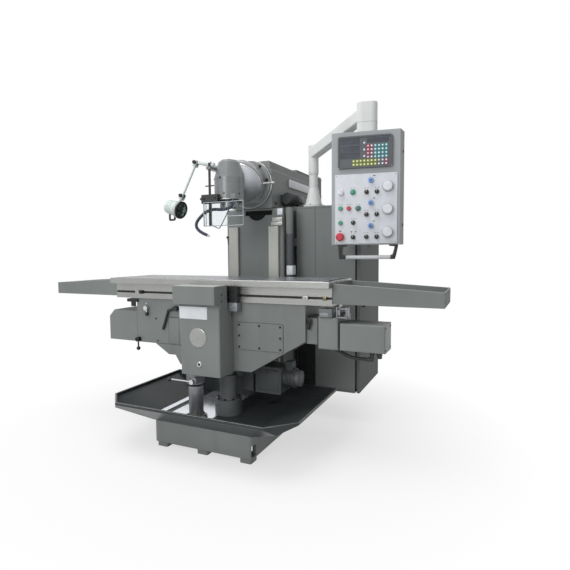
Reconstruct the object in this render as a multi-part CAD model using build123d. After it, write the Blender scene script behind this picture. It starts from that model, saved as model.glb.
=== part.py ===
from build123d import *
import math
import os

os.makedirs("parts", exist_ok=True)

# Universal ram-type milling machine. Millimetres, Z up, X along the table, Y towards the back.
# The origin is the centre of the anchor holes on the floor.

# Clearances
slide_gap = 0.3
running_gap = 0.05
door_gap = 0.3
cut_margin = 1
joint_cutter = 2000

# Base casting
base_width = 720
base_length = 1260
base_height = 174
base_wall = 26
base_corner_radius = 28
deck_thickness = 30
foot_height = 35
foot_size = 78
foot_setback = 14
foot_land = 10
foot_radius = 10
anchor_inset = 32
anchor_hole_radius = 11
notch_depth = 64
notch_width = 46
notch_height = 70

# Chip pan
pan_width = 1336
pan_overhang = 167
pan_rise = 126
pan_lip = 15
pan_chamfer = 145
pan_sheet = 5
pan_rim = 14
pan_to_ways = 40

# Column
ways_from_front = 709
way_stand = 25
way_width = 82
way_outer = 417
way_bottom_z = 360
way_top_z = 1443
way_chamfer = 4
column_width = 480
column_depth = 500
column_top_z = 1575
column_wall = 30
column_radius = 18
throat_left = -73
throat_right = 150
throat_bottom_z = 1527
throat_top_z = 1562
throat_depth = 60
throat_bulge_x = 25
throat_bulge_radius = 85
throat_bulge_drop = 37
rib_width = 220
rib_height = 30
rib_setback = 130
conduit_radius = 25
conduit_clear = 10
conduit_bottom_z = 1000
conduit_top_z = 1578
conduit_setback = 6
clip_height = 24

# Knee
knee_width = 286
knee_setback = 12
knee_bottom_z = 497
knee_height = 353
knee_radius = 10
head_depth = 142
rear_plate_width = 430
rear_plate_depth = 38
rear_plate_reach = 20
tongue_depth = 21
tongue_reach = 20
lightening_width = 220
lightening_reach = 169
lightening_rear = 49
lightening_top_z = 790
cover_width = 302
cover_depth = 145
cover_table_gap = 5
cover_sheet = 4
cover_radius = 6
cover_drop = 30

# Guide post and its clamp
post_x = -87
post_to_ways = 624
post_radius = 46
post_top_z = 720
post_bore_gap = 2
post_bore_top_z = 815
post_flange_radius = 70
post_flange_height = 34
clamp_radius = 58
clamp_height = 70
clamp_boss_radius = 22
clamp_boss_x = -50
clamp_boss_rise = 31
clamp_boss_reach = 78

# Elevating column, nut and screw
screw_x = 24
screw_to_ways = 409
screw_radius = 25
screw_bottom_z = 96
screw_collar_radius = 40
screw_collar_height = 16
lift_column_radius = 60
lift_column_top_z = 440
lift_bore_radius = 32
lift_flange_radius = 92
lift_flange_height = 62
lift_tier_radius = 86
lift_tier_height = 40
nut_radius = 44
nut_flange = 16
nut_depth = 60
screw_room = 190
screw_room_top_z = 660
screw_journal = 60

# Lift drive under the knee
lift_box_left = 191
lift_box_right = 379
lift_box_to_ways = 339
lift_box_depth = 160
lift_box_height = 179
lift_box_radius = 12
shelf_left = 60
shelf_height = 57
shelf_inset = 10
brake_left = 92
brake_right = 175
brake_bottom_z = 324
brake_depth = 82
lift_motor_length = 112
lift_motor_radius = 60
lift_motor_inset = 80
lift_motor_z = 420
lift_fan_length = 30
lift_fan_radius = 52
terminal_width = 50
terminal_depth = 60
terminal_height = 50

# Saddle
saddle_width = 1264
saddle_to_ways = 538
saddle_depth = 355
saddle_deck = 93
wing_bottom_z = 508
wing_flat = 126
wing_side_z = 726
ledge_outer = 365
ledge_inner = 309
ledge_z = 568
ledge_run = 156
saddle_wall = 28
key_width = 60
key_height = 20

# Table and trays
table_length = 1600
table_width = 450
table_proud = 71
table_slab = 37
table_body_height = 104
table_overhang = 57
tee_count = 3
tee_pitch = 90
tee_neck = 18
tee_neck_depth = 18
tee_width = 30
tee_height = 13
gutter_width = 20
gutter_depth = 10
gutter_inset = 13
end_gutter_inset = 25
dog_groove_z = 980
dog_groove_height = 14
dog_groove_depth = 12
table_edge = 3
tray_length = 600
tray_width = 366
tray_front_inset = 64
tray_bottom_z = 955
tray_inner_top_z = 1072
tray_outer_top_z = 1038
tray_sheet = 4

# Left feed gearbox on the saddle
left_box_length = 262
left_box_depth = 286
left_box_bottom_z = 636
left_box_top_z = 852
box_radius = 9
left_chamfer = 46
left_box_wall = 24

# Right feed drive on the saddle
drive_proud = 27
drive_neck = 86
drive_neck_inset = 46
drive_neck_margin = 16
bracket_length = 120
bracket_bottom_z = 697
bracket_top_z = 881
bracket_depth = 266
joint_neck = 9
motor_box_length = 255
motor_box_bottom_z = 697
motor_box_top_z = 852
motor_box_depth = 160
gland_radius = 11
gland_reach = 24
elbow_x = 1024
elbow_drop = 44
elbow_reach = 20
cable_inset = 9
cable_radius = 6
cable_start_inset = 4
cable_start_drop = 8
cable_bend_x = 46
cable_bend_drop = 26
cable_level_x = 106
cable_bends = [134, 320]

# Limit switch in front of the table
switch_left = 152
switch_width = 54
switch_depth = 42
switch_table_gap = 3
switch_height = 96
switch_radius = 4
switch_foot_gap = 4
switch_bracket_drop = 49

# Levers on the saddle
stud_radius = 8
stud_depth = 22
lever_stand = 4
lock_x = -290
lock_z = 884
lock_elbow_x = -352
lock_elbow_z = 868
lock_tip_x = -398
lock_tip_z = 743
lock_hub_radius = 17
lock_hub_length = 24
lock_arm_radius = 8
feed_lever_x = -535
feed_lever_z = 878
feed_hub_radius = 16
feed_hub_length = 30
feed_arm = 42
feed_arm_radius = 5
feed_ball_radius = 12
ball_lever_x = -616
ball_lever_z = 656
ball_lever_arm = 64
ball_lever_radius = 13
ball_lever_hub = 15
post_lever_arm = 169
post_lever_ball = 14
post_lever_rod = 6
post_lever_hub = 15
post_lever_hub_length = 24

# Ram
ram_width = 330
ram_proud = 9
ram_length = 1000
ram_shoulder_z = 1855
ram_cap_height = 57
ram_cap_inset = 15
ram_wall = 40
ram_radius = 12
ram_groove_setback = 38
ram_core_bottom_z = 1645
ram_core_top_z = 1872
rear_cover_length = 110
rear_cover_inset = 15
rear_cover_bottom_z = 1600
rear_cover_top_z = 1949
top_cover_setback = 530
cover_round = 14
cover_wall = 7
side_motor_radius = 40
side_motor_setback = 145
side_motor_length = 265
side_motor_z = 1655
side_pad = 10

# Universal head
swivel_z = 1748
swivel_ring_radius = 172
swivel_ring_length = 22
head_flange_radius = 165
head_flange_length = 22.7
head_neck_radius = 140
spigot_radius = 60
spigot_length = 60
ball_reach = 160
ball_radius = 150
tilt_pin_radius = 45
tilt_pin_length = 55
spindle_reach = 151
barrel_radius = 100
barrel_top_z = 1859
barrel_bottom_z = 1600
barrel_edge = 8
barrel_shoulder_z = 1750
barrel_top_radius = 70
nose_radius = 64.285
nose_length = 46
nose_gap = 0.5
shaft_radius = 45
shaft_top_z = 1825
taper_mouth_radius = 34.925
taper_depth = 101.8
taper_ratio = 7 / 24
drawbar_radius = 12.5
drawbar_access_radius = 20
nose_pitch_circle = 101.6
nose_hole_radius = 7
nose_hole_depth = 30
key_slot_width = 25.4
key_slot_height = 8
key_slot_inner = 40
key_inset = 1

# Lamp
lamp_boss_z = 1828
lamp_boss_radius = 15
lamp_boss_height = 30
lamp_boss_reach = 26
lamp_pin_radius = 6
lamp_tube_radius = 8
lamp_hub_radius = 14
lamp_hub_height = 18
lamp_knuckle_radius = 13
lamp_knuckle_width = 18
lamp_fork_plate = 9
lamp_elbow_x = -262
lamp_elbow_z = 1877
lamp_wrist_x = -384
lamp_wrist_z = 1657
lamp_front_x = -397
lamp_forward = 4
lamp_front_z = 1556
lamp_axis = (0.96, -0.06, -0.27)
lamp_length = 132
lamp_bell_length = 100
lamp_back_radius = 47
lamp_back_round = 16
lamp_hold = 84
lamp_bell_radius = 52
lamp_ring_radius = 60
lamp_glass_radius = 53
lamp_glass_depth = 16
lamp_handle_radius = 6
lamp_handle_inset = 20
lamp_handle_width = 48
lamp_handle_drop = 95

# Guard and coolant hose
guard_x = -80
guard_forward = 116
guard_rod_radius = 8
guard_rod_top_z = 1839
guard_clamp_z = 1795
guard_clamp_height = 18
guard_clamp_width = 32
guard_clamp_front = 14
guard_block_left = -138
guard_block_right = -12
guard_block_bottom_z = 1574
guard_block_top_z = 1633
guard_block_depth = 30
guard_block_radius = 5
guard_cross_z = 1690
guard_cross_length = 66
guard_cross_radius = 4
screen_left = -120
screen_right = 180
screen_bottom_z = 1424
screen_top_z = 1582
screen_sheet = 4
screen_radius = 12
hose_x = 80
hose_forward = 84
hose_block = 40
hose_block_height = 34
hose_block_front = 10
hose_block_back = 40
hose_core_radius = 6
hose_bead_radius = 8
hose_bead_pitch = 17
hose_link_inset = 3
hose_steps = [(0, 0, 0), (0, 0, -46), (-70, -4, -68), (-160, -5, -58), (-230, -5, -83), (-302, -5, -150),
              (-270, -5, -206), (-209, -5, -228)]
hose_bend = 24

# Cabinet
cabinet_left = 278
cabinet_right = 731
cabinet_setback = 181
cabinet_depth = 606
cabinet_bottom_z = 222
cabinet_top_z = 1592
cabinet_sheet = 4
cabinet_flange = 26
gasket_depth = 14
gasket_inset = 12
gasket_width = 26
rail_front_inset = 40
rail_back_inset = 300
rail_height = 60
rail_low_z = 500
rail_high_z = 1300
door_thickness = 21.7
door_margin = 2
door_skin = 5
door_round = 4
hinge_offset = 8
hinge_pin_radius = 5
hinge_knuckle_radius = 9
hinge_height = 60
hinge_low_z = 400
hinge_high_z = 1350
hinge_lug = 18
latch_inset = 45
latch_z = 907
latch_stem_radius = 8
latch_disc_radius = 24
latch_disc_height = 7
latch_bar_length = 110
latch_bar_width = 20
latch_bar_height = 24
latch_bar_round = 9

# Pendant arm
arm_post_x = 382
arm_post_inset = 90
arm_flange_radius = 84
arm_flange_height = 14
arm_post_radius = 33
arm_post_top_z = 1850
arm_pin_radius = 25
arm_pin_length = 110
arm_flare_radius = 66
arm_flare_height = 130
arm_socket_radius = 38
arm_socket_top_z = 2044
arm_root_z = 1992
arm_end_z = 2138
arm_beam_width = 70
arm_beam_height = 78
housing_width = 128
housing_depth = 92
housing_top_z = 2190
housing_radius = 36

# Pendant
pendant_x = 883
pendant_to_ways = 119
pendant_yaw = 9
pendant_left = -221
pendant_right = 210
pendant_flare = 22
pendant_depth = 95
pendant_bottom_z = 1296
pendant_top_z = 2007
pendant_radius = 6
pendant_wall = 5
pendant_stub_length = 40
panel_left = -197
panel_right = 192
panel_bottom_z = 1303
panel_top_z = 1743
panel_sheet = 6
panel_land = 8
panel_radius = 5
readout_left = -178
readout_right = 160
readout_bottom_z = 1778
readout_top_z = 1977
readout_depth = 18
readout_bezel = 9
readout_recess = 4
handle_bar_z = 1216
handle_bar_radius = 11
handle_left_u = -153
handle_right_u = 171
handle_bracket_width = 56
handle_bracket_depth = 50
handle_bracket_front = 14
handle_bracket_radius = 5
handle_cover = 2

# Pendant controls: position across the panel, height
control_gap = 0.5
stem_radius = 6
stem_length = 16
stop_mushroom = ("stop_mushroom", -164, 1347)
push_buttons = [("start_button", -162, 1529), ("halt_button", -109, 1528), ("coolant_button", -162, 1437)]
selectors = [("mode_selector", -81, 1437), ("axis_selector", -81, 1345),
             ("switch_x_left", 3, 1628), ("switch_x_right", 67, 1628), ("switch_y_left", 3, 1487),
             ("switch_y_right", 67, 1487), ("switch_z_left", 3, 1346), ("switch_z_right", 67, 1346)]
feed_knobs = [("feed_knob_x", 29, 1700), ("feed_knob_y", 29, 1560), ("feed_knob_z", 29, 1416)]
jog_dials = [("jog_dial_x", 134, 1659), ("jog_dial_y", 134, 1517), ("jog_dial_z", 134, 1374)]
speed_knob = ("speed_knob", -160, 1628)
pilot_lamps = [(-83, 1630), (-50, 1527)]
mushroom_radius = 26
mushroom_height = 20
mushroom_neck = 14
mushroom_travel_gap = 8
button_radius = 13
button_height = 10
button_travel = 5
selector_radius = 13
selector_height = 22
feed_knob_radius = 16
feed_knob_height = 20
jog_radius = 35
jog_height = 18
speed_radius = 18
speed_height = 22
pilot_radius = 17
pilot_dome = 10
pilot_round = 4
selector_grip = 4
feed_grip = 5
speed_grip = 5
grip_inset = 1
knob_chamfer = 3
dial_recess = 4
dial_recess_radius = 25
dial_peg_u = 15
dial_peg_z = 10.5
dial_peg_radius = 6
dial_peg_reach = 4
button_round = 2
mushroom_round = 9

# Derived places
base_front = -base_length / 2
base_half = base_width / 2
pan_floor_z = base_height + pan_sheet
way_y = base_front + ways_from_front
way_inner = way_outer / 2 - way_width
column_front = way_y + way_stand
column_back = column_front + column_depth
column_half = column_width / 2
pan_back = way_y - pan_to_ways
lightening_front = way_y - lightening_reach
lightening_back = way_y - lightening_rear
post_y = way_y - post_to_ways
clamp_boss_y = post_y - clamp_boss_reach
screw_y = way_y - screw_to_ways
lift_box_front = way_y - lift_box_to_ways
lift_box_back = lift_box_front + lift_box_depth
lift_motor_y = lift_box_front + lift_motor_inset
saddle_front = way_y - saddle_to_ways
table_front = saddle_front - table_proud
drive_front = saddle_front - drive_proud
cable_y = saddle_front + cable_inset
ram_front = way_y - ram_proud
ram_groove_front = ram_front + ram_groove_setback
ram_top_z = ram_shoulder_z + ram_cap_height
top_cover_front = ram_front + top_cover_setback
side_motor_front = ram_front + side_motor_setback
ball_y = ram_front - ball_reach
spindle_y = ball_y - spindle_reach
lamp_front = (lamp_front_x, spindle_y - lamp_forward, lamp_front_z)
guard_y = spindle_y - guard_forward
hose_y = spindle_y - hose_forward
cabinet_front = way_y + cabinet_setback
rail_front = cabinet_front + rail_front_inset
rail_back = cabinet_front + rail_back_inset
latch_y = cabinet_front + latch_inset
arm_post_y = cabinet_front + arm_post_inset
pendant_y = way_y - pendant_to_ways
knee_half = knee_width / 2
knee_front = base_front + knee_setback
knee_back = way_y - slide_gap
knee_top_z = knee_bottom_z + knee_height
saddle_bottom_z = knee_top_z + slide_gap
saddle_top_z = saddle_bottom_z + saddle_deck
saddle_half = saddle_width / 2
saddle_back = saddle_front + saddle_depth
wing_inner = knee_half + slide_gap
table_bottom_z = saddle_top_z + slide_gap
slab_bottom_z = table_bottom_z + table_body_height
table_top_z = slab_bottom_z + table_slab
table_half = table_length / 2
table_back = table_front + table_width
table_middle = (table_front + table_back) / 2
body_front = table_front + table_overhang
body_back = table_back - table_overhang
ram_half = ram_width / 2
ram_bottom_z = column_top_z + slide_gap
ram_back = ram_front + ram_length
ring_front = ram_front - swivel_ring_length
cabinet_back = cabinet_front + cabinet_depth
gasket_right = cabinet_right + gasket_depth
door_left = gasket_right + door_gap
door_right = door_left + door_thickness
hinge_x = (door_left + door_right) / 2
hinge_y = cabinet_back + hinge_offset
left_box_right = -saddle_half
left_box_left = left_box_right - left_box_length
bracket_left = saddle_half + drive_neck
bracket_right = bracket_left + bracket_length
motor_left = bracket_right + joint_neck
motor_right = motor_left + motor_box_length
pendant_place = Location((pendant_x, pendant_y, 0), (0, 0, pendant_yaw))
panel_front = -panel_sheet
pendant_axis = pendant_place * Location((0, pendant_depth / 2, 0))
pendant_axis_x = pendant_axis.position.X
pendant_axis_y = pendant_axis.position.Y


def block(x0, x1, y0, y1, z0, z1):
    return Pos((x0 + x1) / 2, (y0 + y1) / 2, (z0 + z1) / 2) * Box(x1 - x0, y1 - y0, z1 - z0)


def rod_x(x0, x1, y, z, radius):
    return Pos((x0 + x1) / 2, y, z) * Rot(0, 90, 0) * Cylinder(radius, x1 - x0)


def rod_y(y0, y1, x, z, radius):
    return Pos(x, (y0 + y1) / 2, z) * Rot(90, 0, 0) * Cylinder(radius, y1 - y0)


def rod_z(z0, z1, x, y, radius):
    return Pos(x, y, (z0 + z1) / 2) * Cylinder(radius, z1 - z0)


def strut(start, end, radius):
    """Round bar between two points."""
    start = Vector(*start)
    end = Vector(*end)
    along = end - start
    plane = Plane(origin=start, z_dir=along)
    return plane.location * Pos(0, 0, along.length / 2) * Cylinder(radius, along.length)


def soften(shape, axis, radius):
    """Round the edges that run along one axis."""
    return fillet(shape.edges().filter_by(axis), radius)


def prism_y(points, y0, y1):
    """Outline in X and Z, drawn out from y0 to y1."""
    plane = Plane(origin=(0, y0, 0), x_dir=(1, 0, 0), z_dir=(0, -1, 0))
    outline = make_face(Polyline(*points, close=True))
    return extrude(plane.location * outline, -(y1 - y0))


def mirrored(shape):
    return mirror(shape, about=Plane.YZ)


def save(name, shape):
    export_step(shape, f"parts/{name}.step")


def save_group(name, shapes):
    save(name, Compound(children=shapes))


# Base casting: hollow box on foot pads, with a notch in its side over each anchor hole
def make_base():
    half_y = base_length / 2
    pad_top = foot_height + foot_land
    body = soften(block(-base_half, base_half, -half_y, half_y, foot_height, base_height), Axis.Z,
                  base_corner_radius)
    body -= block(-base_half + base_wall, base_half - base_wall, -half_y + base_wall, half_y - base_wall,
                  foot_height, base_height - deck_thickness)
    pad = soften(block(-foot_size / 2, foot_size / 2, -foot_size / 2, foot_size / 2, 0, pad_top), Axis.Z,
                 foot_radius)
    reach_x = base_half - foot_setback - foot_size / 2
    reach_y = half_y - foot_setback - foot_size / 2
    for side in (-1, 1):
        for end in (-1, 1):
            body -= Pos(side * base_half, end * (half_y - anchor_inset), pad_top + notch_height / 2) * Box(
                2 * notch_depth, notch_width, notch_height)
    for x in (-reach_x, 0, reach_x):
        for y in (-reach_y, reach_y):
            body += Pos(x, y, 0) * pad
    for x in (-reach_x, reach_x):
        body += Pos(x, 0, 0) * pad
    for side in (-1, 1):
        for end in (-1, 1):
            x = side * (base_half - anchor_inset)
            y = end * (half_y - anchor_inset)
            body -= rod_z(-cut_margin, pad_top + cut_margin, x, y, anchor_hole_radius)
    body -= rod_z(0, base_height + cut_margin, screw_x, screw_y, lift_bore_radius)
    save("base_casting", body)


# Chip pan: sheet tub whose front and side walls slope outward from the base's top edge to a turned rim
def pan_outline(inset):
    half = pan_width / 2 - inset
    front = base_front - pan_overhang + inset
    back = pan_back - inset
    cut = pan_chamfer - inset * (2 - math.sqrt(2))
    return make_face(Polyline((-half, back), (-half, front + cut), (-half + cut, front), (half - cut, front),
                              (half, front + cut), (half, back), close=True))


def pan_body(inset, floor_z, top_z):
    lip_z = base_height + pan_rise
    low_front = base_front + inset
    high_front = base_front - pan_overhang + inset
    back = pan_back - inset
    low = Pos(0, (low_front + back) / 2, floor_z) * Rectangle(base_width - 2 * inset, back - low_front)
    high = Pos(0, (high_front + back) / 2, lip_z) * Rectangle(pan_width - 2 * inset, back - high_front)
    tub = loft([low, high], ruled=True)
    tub += block(-pan_width / 2 + inset, pan_width / 2 - inset, high_front, back, lip_z, top_z)
    return tub & extrude(pan_outline(inset), top_z)


def make_pan():
    rim_z = base_height + pan_rise + pan_lip
    pan = pan_body(0, base_height, rim_z) - pan_body(pan_sheet, pan_floor_z, rim_z + pan_lip)
    rim = extrude(pan_outline(0), pan_rim) - extrude(pan_outline(pan_rim), pan_rim)
    pan += Pos(0, 0, rim_z - pan_rim) * rim
    pan -= rod_z(base_height - cut_margin, pan_floor_z + cut_margin, screw_x, screw_y, lift_bore_radius)
    save("chip_pan", pan)


# Column: hollow casting with a throat under the ram and a guide rib on top
def make_column():
    body = soften(block(-column_half, column_half, column_front, column_back, base_height, column_top_z),
                  Axis.Z, column_radius)
    body -= block(-column_half + column_wall, column_half - column_wall, column_front + column_wall,
                  column_back - column_wall, base_height, column_top_z - column_wall)
    throat_back = column_front + throat_depth
    throat_low_z = throat_bottom_z - throat_bulge_drop
    bulge = rod_y(column_front, throat_back, throat_bulge_x, throat_low_z + throat_bulge_radius,
                  throat_bulge_radius)
    bulge &= block(throat_left, throat_right, column_front, throat_back, throat_low_z, throat_top_z)
    body -= block(throat_left, throat_right, column_front, throat_back, throat_bottom_z, throat_top_z) + bulge
    body += block(-rib_width / 2, rib_width / 2, column_front + rib_setback, column_back, column_top_z,
                  column_top_z + rib_height)
    x = column_half + conduit_clear + conduit_radius
    y = column_front + conduit_setback
    body += rod_z(conduit_bottom_z, conduit_top_z, x, y + conduit_radius, conduit_radius)
    for z in (conduit_bottom_z + clip_height, conduit_top_z - 2 * clip_height):
        body += block(column_half, x, y + conduit_radius, y + 2 * conduit_radius, z, z + clip_height)
    save("column_casting", body)


# Knee guides: two ways on the column and a post under the front of the knee
def make_guides():
    way = block(way_inner, way_outer / 2, way_y, column_front, way_bottom_z, way_top_z)
    way = chamfer(way.faces().sort_by(Axis.Y)[0].edges().filter_by(Axis.Z), way_chamfer)
    post = rod_z(pan_floor_z, post_top_z, post_x, post_y, post_radius)
    post = chamfer(post.edges().sort_by(Axis.Z)[-1], way_chamfer)
    post += rod_z(pan_floor_z, pan_floor_z + post_flange_height, post_x, post_y, post_flange_radius)
    save_group("knee_guides", [way, mirrored(way), post])


# Elevating column with its nut; the screw turns in the nut and in the knee
def make_lift():
    tier_z = pan_floor_z + lift_flange_height
    column = rod_z(pan_floor_z, lift_column_top_z, screw_x, screw_y, lift_column_radius)
    column += rod_z(pan_floor_z, tier_z, screw_x, screw_y, lift_flange_radius)
    column += rod_z(tier_z, tier_z + lift_tier_height, screw_x, screw_y, lift_tier_radius)
    column -= rod_z(pan_floor_z, lift_column_top_z, screw_x, screw_y, lift_bore_radius)
    nut = rod_z(lift_column_top_z, lift_column_top_z + nut_flange, screw_x, screw_y, nut_radius)
    nut_bottom = lift_column_top_z - nut_depth
    nut += rod_z(nut_bottom, lift_column_top_z, screw_x, screw_y, lift_bore_radius - running_gap)
    nut -= rod_z(nut_bottom, lift_column_top_z + nut_flange, screw_x, screw_y, screw_radius + running_gap)
    save_group("elevating_column", [column, nut])
    collar_top = screw_room_top_z - slide_gap
    screw_top = screw_room_top_z + screw_journal - slide_gap
    screw = rod_z(screw_bottom_z, screw_top, screw_x, screw_y, screw_radius)
    screw += rod_z(collar_top - screw_collar_height, collar_top, screw_x, screw_y, screw_collar_radius)
    save("elevating_screw", screw)


# Knee: box casting with a raised front head, guided on the column ways
def make_knee():
    knee = block(-knee_half, knee_half, knee_front, knee_back, knee_bottom_z, knee_top_z)
    head = block(-knee_half, knee_half, knee_front, knee_front + head_depth, knee_bottom_z, table_bottom_z)
    knee += head
    knee = fillet(knee.faces().sort_by(Axis.Y)[0].edges().filter_by(Axis.Z), knee_radius)
    plate_front = knee_back - rear_plate_depth
    knee += block(-rear_plate_width / 2, rear_plate_width / 2, plate_front, knee_back,
                  knee_bottom_z - rear_plate_reach, knee_top_z + rear_plate_reach)
    tongue = way_inner - slide_gap
    knee += block(-tongue, tongue, knee_back, knee_back + tongue_depth, knee_bottom_z + tongue_reach,
                  knee_top_z - tongue_reach)
    room = screw_room / 2
    knee -= block(screw_x - room, screw_x + room, screw_y - room, screw_y + room, knee_bottom_z,
                  screw_room_top_z)
    knee -= rod_z(screw_room_top_z, screw_room_top_z + screw_journal, screw_x, screw_y,
                  screw_radius + running_gap)
    knee -= rod_z(knee_bottom_z, post_bore_top_z, post_x, post_y, post_radius + post_bore_gap)
    knee -= block(-lightening_width / 2, lightening_width / 2, lightening_front, lightening_back,
                  knee_bottom_z,
                  lightening_top_z)
    save("knee_casting", knee)


# Sheet cover on the knee's head, in front of the table
def make_knee_cover():
    back = table_front - cover_table_gap
    front = back - cover_depth
    half = cover_width / 2
    top = slab_bottom_z + cover_table_gap
    cover = soften(block(-half, half, front, back, table_bottom_z, top), Axis.Z, cover_radius)
    cover -= block(-half + cover_sheet, half - cover_sheet, front + cover_sheet, back - cover_sheet,
                   table_bottom_z, top - cover_sheet)
    skirt = block(knee_half, half, knee_front, back, table_bottom_z - cover_drop, table_bottom_z)
    cover += skirt
    cover += mirrored(skirt)
    save("knee_cover", cover)


# Clamp collar under the knee and its ball lever
def make_clamp():
    bottom = knee_bottom_z - clamp_height
    lever_z = bottom + clamp_boss_rise
    clamp = rod_z(bottom, knee_bottom_z, post_x, post_y, clamp_radius)
    clamp += rod_y(clamp_boss_y, post_y, clamp_boss_x, lever_z, clamp_boss_radius)
    clamp -= rod_z(bottom, knee_bottom_z, post_x, post_y, post_radius + slide_gap)
    clamp -= rod_y(clamp_boss_y, clamp_boss_y + stud_depth, clamp_boss_x, lever_z, stud_radius + running_gap)
    save("post_clamp", clamp)
    hub_back = clamp_boss_y - slide_gap
    hub_front = hub_back - post_lever_hub_length
    rod_line = (hub_back + hub_front) / 2
    lever = rod_y(hub_front, hub_back, clamp_boss_x, lever_z, post_lever_hub)
    lever += rod_y(hub_back, clamp_boss_y + stud_depth - lever_stand, clamp_boss_x, lever_z, stud_radius)
    tip = clamp_boss_x - post_lever_arm
    lever += rod_x(tip, clamp_boss_x, rod_line, lever_z, post_lever_rod)
    lever += Pos(tip, rod_line, lever_z) * Rot(0, 90, 0) * Sphere(post_lever_ball)
    save("post_lever", lever)


# Lift drive: gearbox beside the knee, hung from a shelf under it, with brake box and motor
def make_lift_drive():
    box = soften(block(lift_box_left, lift_box_right, lift_box_front, lift_box_back,
                       knee_bottom_z - lift_box_height, knee_bottom_z), Axis.Y, lift_box_radius)
    shelf_z = knee_bottom_z - shelf_height
    box += block(shelf_left, lift_box_left + lift_box_radius, lift_box_front + shelf_inset,
                 lift_box_back - shelf_inset, shelf_z, knee_bottom_z)
    box += block(brake_left, brake_right, lift_box_front, lift_box_front + brake_depth, brake_bottom_z,
                 shelf_z + shelf_inset)
    end = lift_box_right + lift_motor_length
    box += rod_x(lift_box_right, end - lift_fan_length, lift_motor_y, lift_motor_z, lift_motor_radius)
    box += rod_x(end - lift_fan_length, end, lift_motor_y, lift_motor_z, lift_fan_radius)
    left = lift_box_right + shelf_inset
    top = lift_motor_z + lift_motor_radius
    half = terminal_depth / 2
    box += block(left, left + terminal_width, lift_motor_y - half, lift_motor_y + half, lift_motor_z,
                 top + terminal_height)
    save("lift_drive", box)


# Saddle: deck over the knee with a hollow wing hanging on each side, the left one level with the gearbox
def make_saddle():
    flat = wing_inner + wing_flat
    wall = saddle_wall
    roof = saddle_top_z - wall
    side = saddle_half - wall
    wing = prism_y([(wing_inner, saddle_top_z), (saddle_half, saddle_top_z), (saddle_half, wing_side_z),
                    (flat, wing_bottom_z), (wing_inner, wing_bottom_z)], saddle_front, saddle_back)
    wing -= prism_y([(wing_inner, roof), (side, roof), (side, wing_side_z + wall / 2),
                     (flat - wall / 3, wing_bottom_z + wall), (wing_inner, wing_bottom_z + wall)],
                    saddle_front + wall, saddle_back - wall)
    run = saddle_half - ledge_run
    left_wing = prism_y([(wing_inner, saddle_top_z), (saddle_half, saddle_top_z),
                         (saddle_half, left_box_bottom_z), (run, left_box_bottom_z), (ledge_outer, ledge_z),
                         (ledge_inner, ledge_z), (flat, wing_bottom_z), (wing_inner, wing_bottom_z)],
                        saddle_front, saddle_back)
    left_wing -= prism_y([(wing_inner, roof), (side, roof), (side, left_box_bottom_z + wall),
                          (run, left_box_bottom_z + wall), (ledge_outer, ledge_z + wall),
                          (wing_inner, ledge_z + wall)], saddle_front + wall, saddle_back - wall)
    saddle = block(-wing_inner, wing_inner, saddle_front, saddle_back, saddle_bottom_z, saddle_top_z)
    saddle += wing
    saddle += mirrored(left_wing)
    groove = key_width / 2 + slide_gap
    saddle -= block(-saddle_half, saddle_half, table_middle - groove, table_middle + groove,
                    saddle_top_z - key_height, saddle_top_z)
    for x, z in ((lock_x, lock_z), (feed_lever_x, feed_lever_z), (ball_lever_x, ball_lever_z)):
        saddle -= rod_y(saddle_front, saddle_front + stud_depth, x, z, stud_radius + running_gap)
    save("saddle_casting", saddle)


# Left feed gearbox, bolted to the saddle's left end
def left_box():
    back = saddle_front + left_box_depth
    box = block(left_box_left, left_box_right, saddle_front, back, left_box_bottom_z, left_box_top_z)
    corner = box.edges().filter_by(Axis.Y).sort_by(Axis.X)[:2].sort_by(Axis.Z)[-1]
    box = chamfer(corner, left_chamfer)
    box = fillet(box.faces().sort_by(Axis.Y)[0].edges(), box_radius)
    wall = left_box_wall
    box -= block(left_box_left + wall, left_box_right, saddle_front + wall, back - wall,
                 left_box_bottom_z + wall,
                 left_box_top_z - left_chamfer)
    return box


# Right feed drive: neck, bracket and motor box in a row, with two cable glands
cable_start_x = bracket_right - cable_start_inset
cable_start_z = bracket_bottom_z - cable_start_drop
cable_end_z = motor_box_bottom_z - elbow_drop
cable_points = [(cable_start_x, cable_y, cable_start_z),
                (cable_start_x + cable_bend_x, cable_y, cable_start_z - cable_bend_drop),
                (cable_start_x + cable_level_x, cable_y, cable_end_z),
                (elbow_x - elbow_reach, cable_y, cable_end_z)]


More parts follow.
